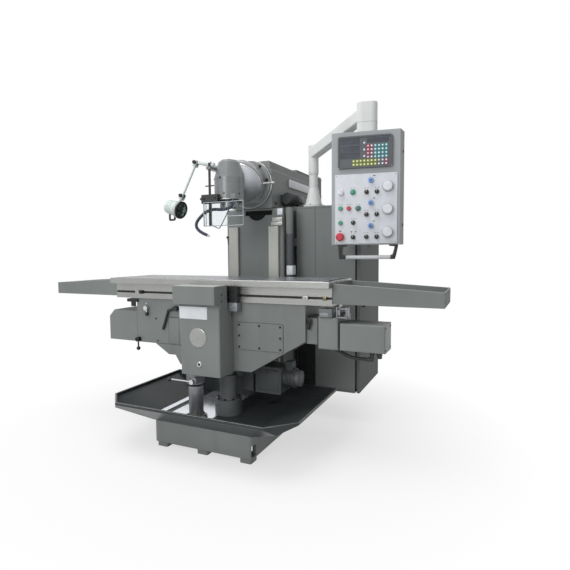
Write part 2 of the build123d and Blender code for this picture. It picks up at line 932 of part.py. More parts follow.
def make_feed_housings():
    neck_back = drive_front + bracket_depth
    box_back = drive_front + motor_box_depth
    inset = drive_neck_inset
    drive = block(saddle_half, bracket_left, drive_front + inset, neck_back - inset / 2,
                  bracket_bottom_z + drive_neck_margin, bracket_top_z - drive_neck_margin)
    bracket = block(bracket_left, bracket_right, drive_front, neck_back, bracket_bottom_z, bracket_top_z)
    drive += fillet(bracket.faces().sort_by(Axis.Y)[0].edges(), box_radius)
    drive += block(bracket_right, motor_left, drive_front + inset, box_back - inset / 2,
                   motor_box_bottom_z + drive_neck_margin, motor_box_top_z - drive_neck_margin)
    box = block(motor_left, motor_right, drive_front, box_back, motor_box_bottom_z, motor_box_top_z)
    drive += fillet(box.faces().sort_by(Axis.Y)[0].edges(), box_radius)
    elbow_z = cable_end_z
    drive += rod_x(elbow_x - elbow_reach, elbow_x, cable_y, elbow_z, gland_radius)
    drive += Pos(elbow_x, cable_y, elbow_z) * Sphere(gland_radius)
    drive += rod_z(elbow_z, motor_box_bottom_z, elbow_x, cable_y, gland_radius)
    along = (Vector(*cable_points[0]) - Vector(*cable_points[1])).normalized() * gland_reach
    root = Vector(*cable_points[0]) + along
    drive += strut((root.X, root.Y, root.Z), cable_points[0], gland_radius)
    save_group("x_feed_housings", [left_box(), drive])
    route = FilletPolyline(*cable_points, radius=cable_bends)
    section = Plane(origin=route @ 0, z_dir=route % 0) * Circle(cable_radius)
    save("motor_cable", sweep(section, path=route))


# Limit switch on a bracket at the saddle's front, reached by the table dogs
def make_switch():
    back = body_front - switch_table_gap
    front = back - switch_depth
    left = switch_left
    right = left + switch_width
    low = table_bottom_z + switch_foot_gap
    body = soften(block(left, right, front, back, low, low + switch_height), Axis.Z, switch_radius)
    body += block(left, right, front, back, saddle_top_z, low)
    body += block(left, right, front, saddle_front, saddle_top_z - switch_bracket_drop, saddle_top_z)
    save("limit_switch", body)


# Levers on the saddle's front
def make_levers():
    hub_back = saddle_front - slide_gap
    stud_end = saddle_front + stud_depth - lever_stand
    front = hub_back - lock_hub_length
    middle = (front + hub_back) / 2
    lever = rod_y(front, hub_back, lock_x, lock_z, lock_hub_radius)
    lever += rod_y(hub_back, stud_end, lock_x, lock_z, stud_radius)
    elbow = (lock_elbow_x, middle, lock_elbow_z)
    tip = (lock_tip_x, middle, lock_tip_z)
    lever += strut((lock_x, middle, lock_z), elbow, lock_arm_radius)
    lever += Pos(*elbow) * Sphere(lock_arm_radius)
    lever += strut(elbow, tip, lock_arm_radius)
    lever += Pos(*tip) * Sphere(lock_arm_radius)
    save("table_lock_lever", lever)
    front = hub_back - feed_hub_length
    middle = (front + hub_back) / 2
    lever = rod_y(front, hub_back, feed_lever_x, feed_lever_z, feed_hub_radius)
    lever += rod_y(hub_back, stud_end, feed_lever_x, feed_lever_z, stud_radius)
    lever += rod_z(feed_lever_z - feed_arm, feed_lever_z, feed_lever_x, middle, feed_arm_radius)
    lever += Pos(feed_lever_x, middle, feed_lever_z - feed_arm) * Sphere(feed_ball_radius)
    save("feed_lever", lever)
    lever = rod_y(front, hub_back, ball_lever_x, ball_lever_z, ball_lever_hub)
    lever += rod_y(hub_back, stud_end, ball_lever_x, ball_lever_z, stud_radius)
    lever += rod_z(ball_lever_z - ball_lever_arm, ball_lever_z, ball_lever_x, middle, feed_arm_radius)
    lever += Pos(ball_lever_x, middle, ball_lever_z - ball_lever_arm) * Sphere(ball_lever_radius)
    save("ball_lever", lever)


# Table: slab with T-slots and gutters on a narrower body, keyed to the saddle
def make_table():
    table = block(-table_half, table_half, table_front, table_back, slab_bottom_z, table_top_z)
    table = chamfer(table.faces().sort_by(Axis.Z)[-1].edges(), table_edge)
    table += block(-table_half, table_half, body_front, body_back, table_bottom_z, slab_bottom_z)
    key = key_width / 2
    table += block(-table_half, table_half, table_middle - key, table_middle + key,
                   saddle_top_z - key_height + slide_gap, table_bottom_z)
    neck_z = table_top_z - tee_neck_depth
    for index in range(tee_count):
        y = table_middle + (index - (tee_count - 1) / 2) * tee_pitch
        table -= block(-table_half, table_half, y - tee_neck / 2, y + tee_neck / 2, neck_z, table_top_z)
        table -= block(-table_half, table_half, y - tee_width / 2, y + tee_width / 2, neck_z - tee_height,
                       neck_z)
    gutter_z = table_top_z - gutter_depth
    end = table_half - end_gutter_inset
    for y in (table_front + gutter_inset, table_back - gutter_inset - gutter_width):
        table -= block(-end, end, y, y + gutter_width, gutter_z, table_top_z)
    for x in (-end, end - gutter_width):
        table -= block(x, x + gutter_width, table_front + gutter_inset, table_back - gutter_inset, gutter_z,
                       table_top_z)
    table -= block(-table_half, table_half, body_front, body_front + dog_groove_depth, dog_groove_z,
                   dog_groove_z + dog_groove_height)
    save("table_top", table)


# Sheet tray at each end of the table
def make_trays():
    end = table_half + tray_length
    front = table_front + tray_front_inset
    back = front + tray_width
    tray = prism_y([(table_half, tray_bottom_z), (end, tray_bottom_z), (end, tray_outer_top_z),
                    (table_half, tray_inner_top_z)], front, back)
    tray -= block(table_half + tray_sheet, end - tray_sheet, front + tray_sheet, back - tray_sheet,
                  tray_bottom_z + tray_sheet, tray_inner_top_z)
    save_group("end_trays", [tray, mirrored(tray)])


# Ram: hollow beam grooved for the column's rib, with the first swivel ring on its front
def make_ram():
    ram = block(-ram_half, ram_half, ram_front, ram_back, ram_bottom_z, ram_shoulder_z)
    ram = soften(ram, Axis.Y, ram_radius)
    cap = ram_half - ram_cap_inset
    ram += soften(block(-cap, cap, ram_front, ram_back, ram_shoulder_z - ram_radius, ram_top_z), Axis.Y,
                  ram_radius / 2)
    ram += rod_y(ring_front, ram_front + swivel_ring_length, 0, swivel_z, swivel_ring_radius)
    ram -= block(-rib_width / 2 - slide_gap, rib_width / 2 + slide_gap, ram_groove_front, ram_back,
                 ram_bottom_z - cut_margin,
                 column_top_z + rib_height + slide_gap)
    core = ram_half - ram_wall
    ram -= block(-core, core, ram_groove_front + ram_wall, ram_back, ram_core_bottom_z, ram_core_top_z)
    bore_end = ring_front + spigot_length
    ram -= rod_y(ring_front, bore_end, 0, swivel_z, spigot_radius + running_gap)
    save("ram_casting", ram)
    half = ram_half - rear_cover_inset
    cover = block(-half, half, ram_back, ram_back + rear_cover_length, rear_cover_bottom_z, rear_cover_top_z)
    cover = fillet(cover.faces().sort_by(Axis.Y)[-1].edges(), cover_round)
    cover -= block(-half + cover_wall, half - cover_wall, ram_back, ram_back + rear_cover_length - cover_wall,
                   rear_cover_bottom_z + cover_wall, rear_cover_top_z - cover_wall)
    top = rear_cover_top_z - cover_round
    side = cap - ram_radius
    lid = block(-side, side, top_cover_front, ram_back, ram_top_z, top)
    lid -= block(-side + cover_wall, side - cover_wall, top_cover_front + cover_wall, ram_back, ram_top_z,
                 top - cover_wall)
    cover += lid
    save("ram_cover", cover)
    motor_x = ram_half + side_pad + side_motor_radius
    motor = rod_y(side_motor_front, side_motor_front + side_motor_length, motor_x, side_motor_z,
                  side_motor_radius)
    pad = side_motor_radius - side_pad
    motor += block(ram_half, motor_x, side_motor_front + side_pad,
                   side_motor_front + side_motor_length - side_pad,
                   side_motor_z - pad, side_motor_z + pad)
    save("ram_motor", motor)


# Universal head: a ball parted at 45 degrees; the back half turns on the ram, the front half on the back half
tilt_plane = Plane(origin=(0, ball_y, swivel_z), z_dir=(0, 1, 1))


def beyond_tilt(shape, side):
    """Keep what lies behind (side 1) or in front (side -1) of the 45 degree joint."""
    size = joint_cutter
    slab = tilt_plane.location * Pos(0, 0, side * (size / 2 + slide_gap / 2)) * Box(size, size, size)
    return shape & slab


def make_head_block():
    flange_back = ring_front - slide_gap
    flange_front = flange_back - head_flange_length
    form = Pos(0, ball_y, swivel_z) * Sphere(ball_radius)
    form += rod_y(ball_y, flange_back, 0, swivel_z, head_neck_radius)
    form += rod_y(flange_front, flange_back, 0, swivel_z, head_flange_radius)
    form = beyond_tilt(form, 1)
    form += rod_y(flange_back, ring_front + spigot_length - slide_gap, 0, swivel_z, spigot_radius)
    form -= tilt_plane.location * Cylinder(tilt_pin_radius + running_gap, 2 * tilt_pin_length)
    save("head_block", form)


def make_head():
    form = Pos(0, ball_y, swivel_z) * Sphere(ball_radius)
    barrel = rod_z(barrel_bottom_z, barrel_shoulder_z, 0, spindle_y, barrel_radius)
    taper = barrel_top_z - barrel_shoulder_z
    barrel += Pos(0, spindle_y, barrel_shoulder_z + taper / 2) * Cone(barrel_radius, barrel_top_radius, taper)
    barrel = chamfer(barrel.edges().sort_by(Axis.Z)[-1], barrel_edge)
    form += barrel
    form = beyond_tilt(form, -1)
    form += tilt_plane.location * Cylinder(tilt_pin_radius, 2 * (tilt_pin_length - slide_gap))
    boss_x = -barrel_radius - lamp_boss_reach
    form += rod_x(boss_x, -barrel_radius / 2, spindle_y, lamp_boss_z, lamp_boss_radius)
    form += rod_z(lamp_boss_z - lamp_boss_height / 2, lamp_boss_z + lamp_boss_height / 2, boss_x, spindle_y,
                  lamp_boss_radius)
    pin_top = lamp_boss_z + lamp_boss_height / 2 + lamp_hub_height
    form += rod_z(lamp_boss_z, pin_top - slide_gap, boss_x, spindle_y, lamp_pin_radius)
    half = guard_clamp_width / 2
    form += block(guard_x - half, guard_x + half, guard_y - guard_clamp_front, spindle_y - barrel_radius / 4,
                  guard_clamp_z, guard_clamp_z + guard_clamp_height)
    form -= rod_z(guard_clamp_z, guard_clamp_z + guard_clamp_height, guard_x, guard_y,
                  guard_rod_radius + slide_gap)
    side = hose_block / 2
    form += block(hose_x - side, hose_x + side, hose_y - hose_block_front, hose_y + hose_block_back,
                  barrel_bottom_z,
                  barrel_bottom_z + hose_block_height)
    form -= rod_z(barrel_bottom_z, shaft_top_z + slide_gap, 0, spindle_y, shaft_radius + running_gap)
    form -= rod_z(shaft_top_z, barrel_top_z, 0, spindle_y, drawbar_access_radius)
    save("head_body", form)


# Spindle: nose with taper, drive keys and bolt circle
def make_spindle():
    nose_top = barrel_bottom_z - nose_gap
    nose_face = nose_top - nose_length
    spindle = rod_z(nose_face, nose_top, 0, spindle_y, nose_radius)
    spindle += rod_z(nose_top, shaft_top_z, 0, spindle_y, shaft_radius)
    small = taper_mouth_radius - taper_depth * taper_ratio / 2
    spindle -= Pos(0, spindle_y, nose_face + taper_depth / 2) * Cone(taper_mouth_radius, small, taper_depth)
    spindle -= rod_z(nose_face, shaft_top_z, 0, spindle_y, drawbar_radius)
    for side in (-1, 1):
        inner = side * key_slot_inner
        outer = side * (nose_radius - key_inset)
        spindle += block(min(inner, outer), max(inner, outer), spindle_y - key_slot_width / 2,
                         spindle_y + key_slot_width / 2, nose_face - key_slot_height, nose_face + cut_margin)
    for index in range(4):
        angle = math.radians(45 + 90 * index)
        x = nose_pitch_circle / 2 * math.cos(angle)
        y = spindle_y + nose_pitch_circle / 2 * math.sin(angle)
        spindle -= rod_z(nose_face, nose_face + nose_hole_depth, x, y, nose_hole_radius)
    save("spindle", spindle)


# Lamp: two tubes with knuckle joints and a bell
def lamp_knuckle(x, z):
    return rod_y(spindle_y - lamp_knuckle_width / 2, spindle_y + lamp_knuckle_width / 2, x, z,
                 lamp_knuckle_radius)


def lamp_pin_hole(x, z):
    return rod_y(spindle_y - lamp_knuckle_width, spindle_y + lamp_knuckle_width, x, z,
                 lamp_pin_radius + running_gap)


def lamp_fork(x, z, toward_x, toward_z):
    """Two cheeks with a pin through them, joined by a bridge that lies toward the second point."""
    inner = lamp_knuckle_width / 2 + slide_gap
    outer = inner + lamp_fork_plate
    reach = math.hypot(toward_x - x, toward_z - z)
    plane = Plane(origin=(x, spindle_y, z), x_dir=((toward_x - x) / reach, 0, (toward_z - z) / reach),
                  z_dir=(0, 1, 0))
    near = lamp_knuckle_radius + lamp_fork_plate
    far = near + lamp_fork_plate
    cheek = Pos(0, 0, (inner + outer) / 2) * Cylinder(lamp_knuckle_radius, lamp_fork_plate)
    cheek += Pos(far / 2, 0, (inner + outer) / 2) * Box(far, lamp_knuckle_radius * 2, lamp_fork_plate)
    fork = cheek + mirror(cheek, about=Plane.XY)
    fork += Pos((near + far) / 2, 0, 0) * Box(far - near, lamp_knuckle_radius * 2, 2 * outer)
    fork += Cylinder(lamp_pin_radius, 2 * outer)
    return plane.location * fork, near


def make_lamp():
    boss_x = -barrel_radius - lamp_boss_reach
    hub_bottom = lamp_boss_z + lamp_boss_height / 2 + slide_gap
    hub_top = hub_bottom + lamp_hub_height
    hub_z = (hub_bottom + hub_top) / 2
    arm = rod_z(hub_bottom, hub_top, boss_x, spindle_y, lamp_hub_radius)
    arm += strut((boss_x, spindle_y, hub_z), (lamp_elbow_x, spindle_y, lamp_elbow_z), lamp_tube_radius)
    arm += lamp_knuckle(lamp_elbow_x, lamp_elbow_z)
    arm -= lamp_pin_hole(lamp_elbow_x, lamp_elbow_z)
    arm -= rod_z(hub_bottom, hub_top, boss_x, spindle_y, lamp_pin_radius + running_gap)
    save("lamp_arm", arm)
    fork, near = lamp_fork(lamp_elbow_x, lamp_elbow_z, lamp_wrist_x, lamp_wrist_z)
    reach = math.hypot(lamp_wrist_x - lamp_elbow_x, lamp_wrist_z - lamp_elbow_z)
    start_x = lamp_elbow_x + (lamp_wrist_x - lamp_elbow_x) * near / reach
    start_z = lamp_elbow_z + (lamp_wrist_z - lamp_elbow_z) * near / reach
    forearm = fork + strut((start_x, spindle_y, start_z), (lamp_wrist_x, spindle_y, lamp_wrist_z),
                           lamp_tube_radius)
    forearm += lamp_knuckle(lamp_wrist_x, lamp_wrist_z)
    forearm -= lamp_pin_hole(lamp_wrist_x, lamp_wrist_z)
    save("lamp_forearm", forearm)
    front = Vector(*lamp_front)
    axis = Vector(*lamp_axis).normalized()
    back = front - axis * lamp_length
    plane = Plane(origin=back, z_dir=axis)
    ring = lamp_length - lamp_bell_length
    bell = Pos(0, 0, lamp_bell_length / 2) * Cone(lamp_back_radius, lamp_bell_radius, lamp_bell_length)
    head = fillet(bell.edges().sort_by(Axis.Z)[0], lamp_back_round)
    head += Pos(0, 0, lamp_bell_length + ring / 2) * Cylinder(lamp_ring_radius, ring)
    head -= Pos(0, 0, lamp_length - lamp_glass_depth / 2) * Cylinder(lamp_glass_radius, lamp_glass_depth)
    head = plane.location * head
    hold = back + axis * lamp_hold
    fork, near = lamp_fork(lamp_wrist_x, lamp_wrist_z, hold.X, hold.Z)
    reach = math.hypot(hold.X - lamp_wrist_x, hold.Z - lamp_wrist_z)
    start = (lamp_wrist_x + (hold.X - lamp_wrist_x) * near / reach, spindle_y,
             lamp_wrist_z + (hold.Z - lamp_wrist_z) * near / reach)
    head += fork
    head += strut(start, (hold.X, hold.Y, hold.Z), lamp_tube_radius)
    root = back + axis * lamp_handle_inset
    root_2 = root + axis * lamp_handle_width
    low = (root.X, root.Y, root.Z - lamp_handle_drop)
    low_2 = (root_2.X, root_2.Y, root.Z - lamp_handle_drop)
    head += strut((root.X, root.Y, root.Z), low, lamp_handle_radius)
    head += strut((root_2.X, root_2.Y, root_2.Z), low_2, lamp_handle_radius)
    head += strut(low, low_2, lamp_handle_radius)
    for corner in (low, low_2):
        head += Pos(*corner) * Rot(0, 0, 90) * Sphere(lamp_handle_radius)
    save("lamp_head", head)


# Guard: carrier on a rod that slides in the head's clamp, clear screen on its front
def make_guard():
    front = guard_y - guard_block_depth / 2
    carrier = soften(block(guard_block_left, guard_block_right, front, front + guard_block_depth,
                           guard_block_bottom_z, guard_block_top_z), Axis.Y, guard_block_radius)
    carrier += rod_z(guard_block_bottom_z, guard_rod_top_z, guard_x, guard_y, guard_rod_radius)
    carrier += rod_x(guard_x - guard_cross_length / 2, guard_x + guard_cross_length / 2, guard_y,
                     guard_cross_z,
                     guard_cross_radius)
    save("guard_carrier", carrier)
    screen = block(screen_left, screen_right, front - screen_sheet, front, screen_bottom_z, screen_top_z)
    save("guard_screen", soften(screen, Axis.Y, screen_radius))


# Coolant hose: segmented, a bead at each joint
def make_hose():
    points = [(hose_x + x, hose_y + y, barrel_bottom_z + z) for x, y, z in hose_steps]
    route = FilletPolyline(*points, radius=hose_bend)
    count = int(route.length / hose_bead_pitch)
    segments = []
    for index in range(count):
        start = route @ (index / count)
        end = route @ ((index + 1) / count)
        step = (end - start).normalized() * hose_link_inset
        root = start + step if index else start
        tip = end - step
        segments.append(strut((root.X, root.Y, root.Z), (tip.X, tip.Y, tip.Z), hose_core_radius))
        along = route % ((index + 1) / count)
        side = along.cross(Vector(0, 1, 0)).normalized()
        joint = Plane(origin=end, x_dir=side, z_dir=along.cross(side))
        segments.append(joint.location * Sphere(hose_bead_radius))
    hose = segments[0] + segments[1:]
    save("coolant_hose", hose)


# Cabinet: sheet shell open to the right, hung on the column by two rails
def make_cabinet():
    sheet = cabinet_sheet
    shell = block(cabinet_left, cabinet_right, cabinet_front, cabinet_back, cabinet_bottom_z, cabinet_top_z)
    shell -= block(cabinet_left + sheet, cabinet_right - sheet, cabinet_front + sheet, cabinet_back - sheet,
                   cabinet_bottom_z + sheet, cabinet_top_z - sheet)
    rim = cabinet_flange
    shell -= block(cabinet_right - sheet, cabinet_right, cabinet_front + rim, cabinet_back - rim,
                   cabinet_bottom_z + rim, cabinet_top_z - rim)
    inset = gasket_inset
    lip = inset + gasket_width
    frame = block(cabinet_right, gasket_right, cabinet_front + inset, cabinet_back - inset,
                  cabinet_bottom_z + inset,
                  cabinet_top_z - inset)
    frame -= block(cabinet_right, gasket_right, cabinet_front + lip, cabinet_back - lip,
                   cabinet_bottom_z + lip,
                   cabinet_top_z - lip)
    shell += frame
    for z in (rail_low_z, rail_high_z):
        shell += block(column_half, cabinet_left + sheet, rail_front, rail_back, z, z + rail_height)
    for z in (hinge_low_z, hinge_high_z):
        top = z + hinge_height
        shell += block(cabinet_right - cabinet_flange, hinge_x + hinge_pin_radius, cabinet_back,
                       hinge_y + hinge_pin_radius,
                       top + door_gap, top + hinge_lug)
        shell += rod_z(z, top + hinge_lug, hinge_x, hinge_y, hinge_pin_radius)
    save("cabinet_body", shell)
    margin = door_margin
    door = block(door_left, door_right, cabinet_front + margin, cabinet_back - margin,
                 cabinet_bottom_z + margin,
                 cabinet_top_z - margin)
    door = fillet(door.faces().sort_by(Axis.X)[-1].edges(), door_round)
    edge = inset - margin - slide_gap
    door -= block(door_left, door_right - door_skin, cabinet_front + margin + edge,
                  cabinet_back - margin - edge,
                  cabinet_bottom_z + margin + edge, cabinet_top_z - margin - edge)
    for z in (hinge_low_z, hinge_high_z):
        knuckle = rod_z(z, z + hinge_height, hinge_x, hinge_y, hinge_knuckle_radius)
        knuckle += block(hinge_x - hinge_pin_radius, hinge_x + hinge_pin_radius,
                         cabinet_back - margin - edge, hinge_y, z,
                         z + hinge_height)
        door += knuckle
        door -= rod_z(z, z + hinge_height, hinge_x, hinge_y, hinge_pin_radius + running_gap)
    door -= rod_x(door_left, door_right, latch_y, latch_z, latch_stem_radius + running_gap)
    save("cabinet_door", door)
    face = door_right + slide_gap
    latch = rod_x(face, face + latch_disc_height, latch_y, latch_z, latch_disc_radius)
    latch += rod_x(door_left + slide_gap, face, latch_y, latch_z, latch_stem_radius)
    bar = block(face + latch_disc_height, face + latch_disc_height + latch_bar_height,
                latch_y - latch_bar_width / 2,
                latch_y + latch_bar_width / 2, latch_z - latch_bar_length / 2, latch_z + latch_bar_length / 2)
    latch += fillet(bar.edges().filter_by(Axis.X), latch_bar_round)
    save("door_latch", latch)


# Arm post on the cabinet, swinging arm and its end housing over the pendant
def make_arm():
    post = rod_z(cabinet_top_z, arm_post_top_z, arm_post_x, arm_post_y, arm_post_radius)
    flange_top = cabinet_top_z + arm_flange_height
    post += rod_z(cabinet_top_z, flange_top, arm_post_x, arm_post_y, arm_flange_radius)
    post += Pos(arm_post_x, arm_post_y, flange_top + arm_flare_height / 2) * Cone(
        arm_flare_radius, arm_post_radius, arm_flare_height)
    pin_top = arm_post_top_z + arm_pin_length
    post += rod_z(arm_post_top_z, pin_top, arm_post_x, arm_post_y, arm_pin_radius)
    save("arm_post", post)
    arm = rod_z(arm_post_top_z + slide_gap, arm_socket_top_z, arm_post_x, arm_post_y, arm_socket_radius)
    root = Vector(arm_post_x, arm_post_y, arm_root_z)
    end = Vector(pendant_axis_x, pendant_axis_y, arm_end_z)
    along = end - root
    level = Vector(along.X, along.Y, 0)
    up = along.cross(level).cross(along)
    beam = Plane(origin=root, x_dir=along, z_dir=up)
    beam_box = soften(Box(along.length, arm_beam_width, arm_beam_height), Axis.X, box_radius)
    arm += beam.location * Pos(along.length / 2, 0, 0) * beam_box
    bottom = pendant_top_z + slide_gap
    housing = block(-housing_width / 2, housing_width / 2, -housing_depth / 2, housing_depth / 2, bottom,
                    housing_top_z)
    housing = soften(housing, Axis.Z, housing_radius)
    arm += Location((pendant_axis_x, pendant_axis_y, 0), (0, 0, pendant_yaw)) * housing
    arm -= rod_z(arm_post_top_z, pin_top + slide_gap, arm_post_x, arm_post_y, arm_pin_radius + running_gap)
    arm -= rod_z(pendant_top_z, bottom + pendant_stub_length, pendant_axis_x, pendant_axis_y,
                 arm_pin_radius + running_gap)
    save("pendant_arm", arm)


# Pendant, drawn in its own frame with the front face at Y 0
def make_pendant():
    back_right = pendant_right + pendant_flare
    outline = make_face(Polyline((pendant_left, 0), (pendant_right, 0), (back_right, pendant_depth),
                                 (pendant_left, pendant_depth), close=True))
    box = Pos(0, 0, pendant_bottom_z) * extrude(outline, pendant_top_z - pendant_bottom_z)
    box = soften(box, Axis.Z, pendant_radius)
    inner_depth = pendant_depth - pendant_wall
    box -= block(panel_left + panel_land, panel_right - panel_land, 0, inner_depth,
                 panel_bottom_z + panel_land,
                 panel_top_z - panel_land)
    box -= block(panel_left + panel_land, panel_right - panel_land, pendant_wall, inner_depth,
                 panel_top_z - panel_land,
                 pendant_top_z - 2 * pendant_wall)
    box += rod_z(pendant_top_z - 2 * pendant_wall, pendant_top_z + pendant_stub_length, 0,
                 pendant_depth / 2, arm_pin_radius)
    save("pendant_box", pendant_place * box)
    panel = soften(block(panel_left, panel_right, panel_front, 0, panel_bottom_z, panel_top_z), Axis.Y,
                   panel_radius)
    for u, z in pilot_lamps:
        lens = rod_y(panel_front - pilot_dome, panel_front, u, z, pilot_radius)
        panel += fillet(lens.edges().sort_by(Axis.Y)[0], pilot_round)
    for name, u, z in selectors + feed_knobs + jog_dials + [speed_knob]:
        panel -= rod_y(panel_front, 0, u, z, stem_radius + running_gap)
    for name, u, z in push_buttons + [stop_mushroom]:
        panel -= rod_y(panel_front, 0, u, z, stem_radius + slide_gap)
    save("pendant_panel", pendant_place * panel)
    unit = block(readout_left, readout_right, -readout_depth, 0, readout_bottom_z, readout_top_z)
    unit = soften(unit, Axis.Y, box_radius)
    edge = readout_bezel
    unit -= block(readout_left + edge, readout_right - edge, -readout_depth, readout_recess - readout_depth,
                  readout_bottom_z + edge, readout_top_z - edge)
    save("readout", pendant_place * unit)
    drop = handle_bracket_width / 2
    pieces = []
    y = handle_bracket_front + handle_bracket_depth / 2
    for u in (handle_left_u, handle_right_u):
        bracket = block(u - drop, u + drop, handle_bracket_front, handle_bracket_front + handle_bracket_depth,
                        handle_bar_z - handle_bar_radius - handle_cover, pendant_bottom_z)
        pieces.append(pendant_place * soften(bracket, Axis.X, handle_bracket_radius))
    pieces.append(pendant_place * rod_x(handle_left_u + drop, handle_right_u - drop, y, handle_bar_z,
                                        handle_bar_radius))
    save_group("pendant_handle", pieces)


# Controls on the panel; each stem runs in its own hole
def stem(u, z, front):
    return rod_y(front, stem_length - panel_sheet, u, z, stem_radius)


def knob(u, z, radius, height, grip):
    """Round knob on a stem; grip is the half width of a raised bar across it, or 0."""
    back = panel_front - control_gap
    if grip == 0:
        body = rod_y(back - height, back, u, z, radius)
        body = chamfer(body.edges().sort_by(Axis.Y)[0], knob_chamfer)
    else:
        body = rod_y(back - height / 2, back, u, z, radius)
        reach = radius - grip_inset
        body += block(u - grip, u + grip, back - height, back, z - reach, z + reach)
    return pendant_place * (body + stem(u, z, back))


def make_controls():
    for name, u, z in selectors:
        save(name, knob(u, z, selector_radius, selector_height, selector_grip))
    for name, u, z in feed_knobs:
        save(name, knob(u, z, feed_knob_radius, feed_knob_height, feed_grip))
    for name, u, z in jog_dials:
        dial = knob(u, z, jog_radius, jog_height, 0)
        back = panel_front - control_gap - jog_height
        floor = back + dial_recess
        dial -= pendant_place * rod_y(back, floor, u, z, dial_recess_radius)
        dial += pendant_place * rod_y(back - dial_peg_reach, floor + dial_peg_reach, u + dial_peg_u,
                                      z + dial_peg_z,
                                      dial_peg_radius)
        save(name, dial)
    name, u, z = speed_knob
    save(name, knob(u, z, speed_radius, speed_height, speed_grip))
    for name, u, z in push_buttons:
        back = panel_front - button_travel
        cap = rod_y(back - button_height, back, u, z, button_radius)
        cap = fillet(cap.edges().sort_by(Axis.Y)[0], button_round)
        save(name, pendant_place * (cap + stem(u, z, back)))
    name, u, z = stop_mushroom
    back = panel_front - mushroom_travel_gap
    cap = rod_y(back - mushroom_height, back, u, z, mushroom_radius)
    cap = fillet(cap.edges().sort_by(Axis.Y)[0], mushroom_round)
    save(name, pendant_place * (cap + stem(u, z, back)))


make_base()
make_pan()
make_column()
make_guides()
make_lift()
make_knee()
make_knee_cover()
make_clamp()
make_lift_drive()
make_saddle()
make_feed_housings()
make_switch()
make_levers()
make_table()
make_trays()
make_ram()
make_head_block()
make_head()
make_spindle()
make_lamp()
make_guard()
make_hose()
make_cabinet()
make_arm()
make_pendant()
make_controls()
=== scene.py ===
# %% [markdown]
# # A universal milling machine, dressed for the studio
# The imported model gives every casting, lever and knob its exact place and its joint. This lesson keeps
# that model as a fixed frame, gives each piece its finish and adds the small pieces that make a
# machine tool believable: screws, scales, seals, keys and fins.

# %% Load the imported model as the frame
import math
import bpy
import bmesh
from mathutils import Matrix, Vector


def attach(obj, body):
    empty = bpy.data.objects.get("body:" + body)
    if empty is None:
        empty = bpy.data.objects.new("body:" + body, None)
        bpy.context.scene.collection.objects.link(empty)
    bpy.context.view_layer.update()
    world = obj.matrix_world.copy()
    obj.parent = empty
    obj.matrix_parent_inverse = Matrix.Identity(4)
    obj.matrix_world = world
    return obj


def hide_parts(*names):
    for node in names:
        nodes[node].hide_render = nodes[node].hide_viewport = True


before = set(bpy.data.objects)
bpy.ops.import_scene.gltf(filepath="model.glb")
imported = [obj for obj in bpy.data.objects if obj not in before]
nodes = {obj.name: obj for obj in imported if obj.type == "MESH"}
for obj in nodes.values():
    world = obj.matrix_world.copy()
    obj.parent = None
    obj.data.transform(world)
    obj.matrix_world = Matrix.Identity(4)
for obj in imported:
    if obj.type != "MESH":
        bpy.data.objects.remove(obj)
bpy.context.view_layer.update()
scene = bpy.context.scene
show = scene.collection.objects.link
MM = 0.001

# %% [markdown]
# ## The camera
# The photograph was taken from the operator's right, at chest height, with a fairly wide lens. A camera
# can be aimed by a constraint, but a matrix written from its three axes (right, up and backwards) also
# holds the roll. The angles were measured on the long straight edges of the table and column.

# %% Camera at the photograph's viewing angle
YAW, PITCH, ROLL = (math.radians(angle) for angle in (24.32, 3.94, 0.42))
STAND = (1.590, -2.863, 1.239)
forward = Vector((-math.sin(YAW) * math.cos(PITCH), math.cos(YAW) * math.cos(PITCH), -math.sin(PITCH)))
level = Vector((math.cos(YAW), math.sin(YAW), 0))
down = forward.cross(level)
across = level * math.cos(ROLL) + down * math.sin(ROLL)
downward = down * math.cos(ROLL) - level * math.sin(ROLL)
lens = bpy.data.cameras.new("camera")
lens.sensor_width, lens.lens, lens.clip_end = 36, 28.22, 60
camera = bpy.data.objects.new("camera", lens)
axes = Matrix((across, -downward, -forward)).transposed().to_4x4()
camera.matrix_world = Matrix.Translation(STAND) @ axes
show(camera)
scene.camera = camera
print("camera lens", lens.lens, "mm")

# %% [markdown]
# ## A bench for finishes
# Each finish is a Principled shader whose colour, roughness and relief come from noise in Object
# coordinates. Images would need unwrapped meshes, and noise needs none. The helpers below each add one
# node and hand back its output, so a finish reads like a recipe.

# %% Helpers for node recipes
finishes, slots = {}, {}


def tone(red, green, blue):
    """A screen colour from 0 to 255 as the linear colour that shaders use."""
    parts = [value / 255 for value in (red, green, blue)]
    return [p / 12.92 if p <= 0.04045 else ((p + 0.055) / 1.055) ** 2.4 for p in parts] + [1.0]


def tinted(colour, strength):
    return [min(1.0, part * strength) for part in colour[:3]] + [1.0]


def start_finish(name, slot, metal=0.0, rough=0.5):
    finishes[name], slots[name] = bpy.data.materials.new(name), slot
    finishes[name].use_nodes = True
    tree = finishes[name].node_tree
    shader = tree.nodes["Principled BSDF"]
    shader.inputs["Metallic"].default_value = metal
    shader.inputs["Roughness"].default_value = rough
    return tree, shader, tree.nodes.new("ShaderNodeTexCoord").outputs["Object"]


def node(tree, kind, *feeds, **settings):
    """A new node. Its sockets are fed in order: by a link, by a plain value, or left alone by None."""
    made = tree.nodes.new("ShaderNode" + kind)
    for setting, value in settings.items():
        setattr(made, setting, value)
    for socket, value in zip(made.inputs, feeds):
        if isinstance(value, bpy.types.NodeSocket):
            tree.links.new(value, socket)
        elif value is not None:
            socket.default_value = value
    return made


def noise(tree, coords, scale, detail=3.0, stretch=None):
    if stretch:
        coords = node(tree, "Mapping", coords, None, None, stretch).outputs[0]
    return node(tree, "TexNoise", coords, None, scale, detail).outputs[0]


def span(tree, value, low, high, to_low=0.0, to_high=1.0):
    return node(tree, "MapRange", value, low, high, to_low, to_high).outputs[0]


